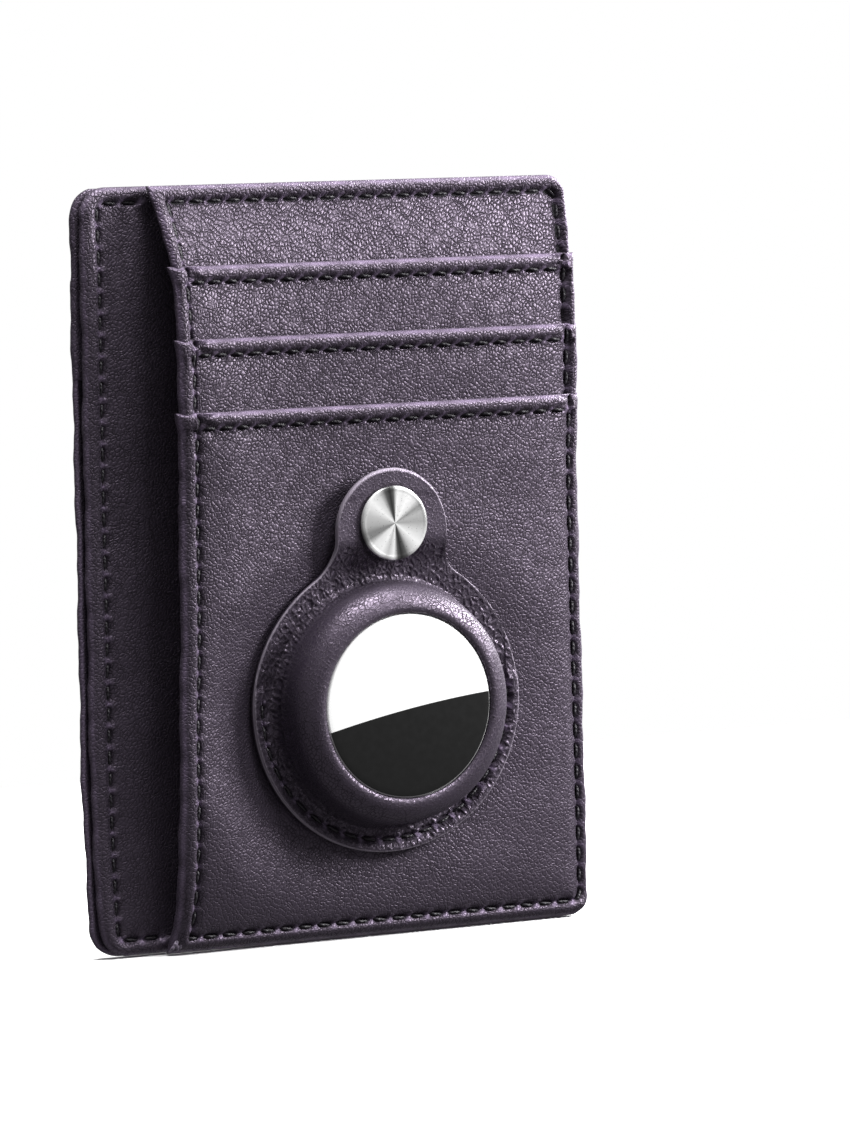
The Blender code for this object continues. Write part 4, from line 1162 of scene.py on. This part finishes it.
def build_tag(cover_material, shell_material):
    """Round tag: a shell with a rolled rim, and the domed cover that turns inside it."""
    outline = [(0, -1.7), (8.0, -1.5), (12.0, -1.1), (14.2, -0.5), (15.3, 0.1), (TAG_RADIUS, 1.1),
               (TAG_RADIUS, 2.4), (15.55, 3.4), (14.7, 4.3), (13.75, 4.95), (13.3, 5.15), (12.95, 5.15),
               (12.95, 4.7), (12.5, 4.7), (12.5, 4.2), (13.5, 4.2), (14.6, 2.9), (15.0, 2.2), (15.0, 1.3),
               (14.2, 0.5), (11.5, -0.3), (8.0, -0.7), (0, -0.9)]
    shell = lathe("Tag_shell", rounded_profile(outline, 0.35, 5), shell_material, TAG_X, PANEL_Y, TAG_Z)
    declare(shell, "white_plastic", "tag", "tag_shell")
    crown = [(r, 6.35 - 0.30 * (r / 12.6) ** 2) for r in np.linspace(0.0, 12.6, 16)]
    edge = [(12.88, 5.98), (12.97, 5.80), (12.97, 5.40), (12.8, 5.2), (11.9, 5.15), (0.0, 5.15)]
    cover = lathe("Tag_battery_cover", crown + edge, cover_material, TAG_X, PANEL_Y, TAG_Z)
    declare(cover, "polished_cover", "battery_cover", "tag_battery_cover")


# ---------------------------------------------------------------- the whole object

def build_object():
    body_leather = leather("Leather_panel", grain=0.65, cell=0.47)
    build_front_group(leather("Leather_top_band"), body_leather, cloth("Lining_cloth"))
    build_back_group(body_leather, leather("Leather_inner", grain=0.6),
                     leather("Leather_dark", (0.012, 0.010, 0.013)), film_material("Clear_film"))
    build_all_stitches(thread_material("Waxed_thread"), thread_material("Worn_thread", 12.0))
    build_holder(leather("Leather_holder", (0.029, 0.0225, 0.035), 0.26, 0.42, 0.38, 0.11))
    build_snap_cap(spun_steel("Spun_steel", TAG_X, SNAP_Z))
    white = plastic("Glossy_white_plastic", (0.86, 0.86, 0.87), 0.22)
    build_tag(painted_reflection_cover("Painted_reflection_cover"), white)

    # Better finishes for the CAD nodes that stay on show
    for material, nodes in (
            (plain_steel("Nickel_steel"), "snap_stud snap_post snap_socket tag_speaker_magnet tag_coin_cell"),
            (plain_steel("Spring_copper", (0.72, 0.36, 0.20), 0.35), "snap_ring_spring tag_speaker_coil "
             "tag_negative_contact_left tag_negative_contact_right tag_positive_contact"),
            (plastic("Black_plastic", (0.02, 0.02, 0.022), 0.42, 0.01), "tag_radio_chip tag_locator_chip "
             "tag_memory_chip tag_cover_insulator"),
            (board("Circuit_board"), "tag_circuit_board"), (white, "tag_inner_tray")):
        for node in nodes.split():
            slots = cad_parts[node].data.materials
            slots.clear()
            slots.append(material)


# ---------------------------------------------------------------- studio

WORLD_LIGHT = 0.23
MIDDLE = Vector((0.01, 0.0, 0.055))
FLOOR_HALF = 0.22
# Soft boxes: name, degrees round from the front, degrees up, metres away, side and power
STUDIO_LIGHTS = (
    ("Key", 60.0, 24.0, 0.25, 0.10, 1.28),
    ("Rim", 106.0, 24.0, 0.5, 0.16, 4.6),
    ("Top", 15.0, 62.0, 0.30, 0.10, 0.6),
)


def towards(azimuth, elevation):
    """Unit vector from the object, by degrees round from the front and degrees up."""
    a, e = math.radians(azimuth), math.radians(elevation)
    return Vector((math.sin(a) * math.cos(e), -math.cos(a) * math.cos(e), math.sin(e)))


def area_light(name, azimuth, elevation, distance, side, power):
    data = bpy.data.lights.new(name, "AREA")
    data.shape = "SQUARE"
    data.size = side
    data.energy = power
    made = bpy.data.objects.new(name, data)
    out = towards(azimuth, elevation)
    made.location = MIDDLE + out * distance
    made.rotation_euler = out.to_track_quat("Z", "Y").to_euler()
    bpy.context.collection.objects.link(made)


def build_studio():
    world = bpy.data.worlds.new("Studio")
    world.use_nodes = True
    tree = world.node_tree
    seen, lit = tree.nodes["Background"], tree.nodes.new("ShaderNodeBackground")
    mixer, path = tree.nodes.new("ShaderNodeMixShader"), tree.nodes.new("ShaderNodeLightPath")
    seen.inputs["Color"].default_value = (1.0, 1.0, 1.0, 1.0)
    lit.inputs["Color"].default_value = (1.0, 1.0, 1.0, 1.0)
    lit.inputs["Strength"].default_value = WORLD_LIGHT
    tree.links.new(path.outputs["Is Camera Ray"], mixer.inputs["Fac"])
    tree.links.new(lit.outputs[0], mixer.inputs[1])
    tree.links.new(seen.outputs[0], mixer.inputs[2])
    tree.links.new(mixer.outputs[0], tree.nodes["World Output"].inputs["Surface"])
    bpy.context.scene.world = world
    bpy.context.scene.view_settings.view_transform = "Standard"

    size = FLOOR_HALF
    mesh = bpy.data.meshes.new("Studio_floor")
    low = -0.0002
    mesh.from_pydata([(-size, -size, low), (size, -size, low), (size, size, low), (-size, size, low)], [],
                     [(0, 1, 2, 3)])
    s = Shader("Pale_floor")
    shade = s.mix(s.noise(s.place, 30.0), (0.93, 0.93, 0.93), (0.95, 0.95, 0.95))
    mesh.materials.append(s.finish(Base_Color=shade, Roughness=0.9))
    floor = bpy.data.objects.new("Studio_floor", mesh)
    bpy.context.collection.objects.link(floor)
    floor.visible_diffuse = floor.visible_glossy = False

    for name, azimuth, elevation, distance, side, power in STUDIO_LIGHTS:
        area_light(name, azimuth, elevation, distance, side, power)
    sun = bpy.data.lights.new("Overhead", "SUN")
    sun.energy = 5.0
    sun.angle = math.radians(28)
    above = bpy.data.objects.new("Overhead", sun)
    bpy.context.collection.objects.link(above)


CAMERA_AZIMUTH = -27.98
CAMERA_ELEVATION = 3.97
CAMERA_ROLL = math.radians(-1.583)
CAMERA_DISTANCE = 0.8141
CAMERA_TARGET = Vector((0.01347, 0.0016, 0.0519))
CAMERA_LENS = 181.8
CAMERA_SENSOR = 36.0


def build_camera():
    """Long lens, to the left of the front, a little above the middle, and tilted slightly."""
    data = bpy.data.cameras.new("Camera")
    data.sensor_width = CAMERA_SENSOR
    data.lens = CAMERA_LENS
    data.clip_start, data.clip_end = 0.01, 20.0
    camera = bpy.data.objects.new("Camera", data)
    back = towards(CAMERA_AZIMUTH, CAMERA_ELEVATION)
    level = (-back).to_track_quat("-Z", "Y").to_matrix()
    camera.matrix_world = (Matrix.Translation(CAMERA_TARGET + back * CAMERA_DISTANCE)
                           @ (level @ Matrix.Rotation(CAMERA_ROLL, 3, "Z")).to_4x4())
    bpy.context.collection.objects.link(camera)
    bpy.context.scene.camera = camera


build_object()
build_studio()
build_camera()
bpy.context.view_layer.update()
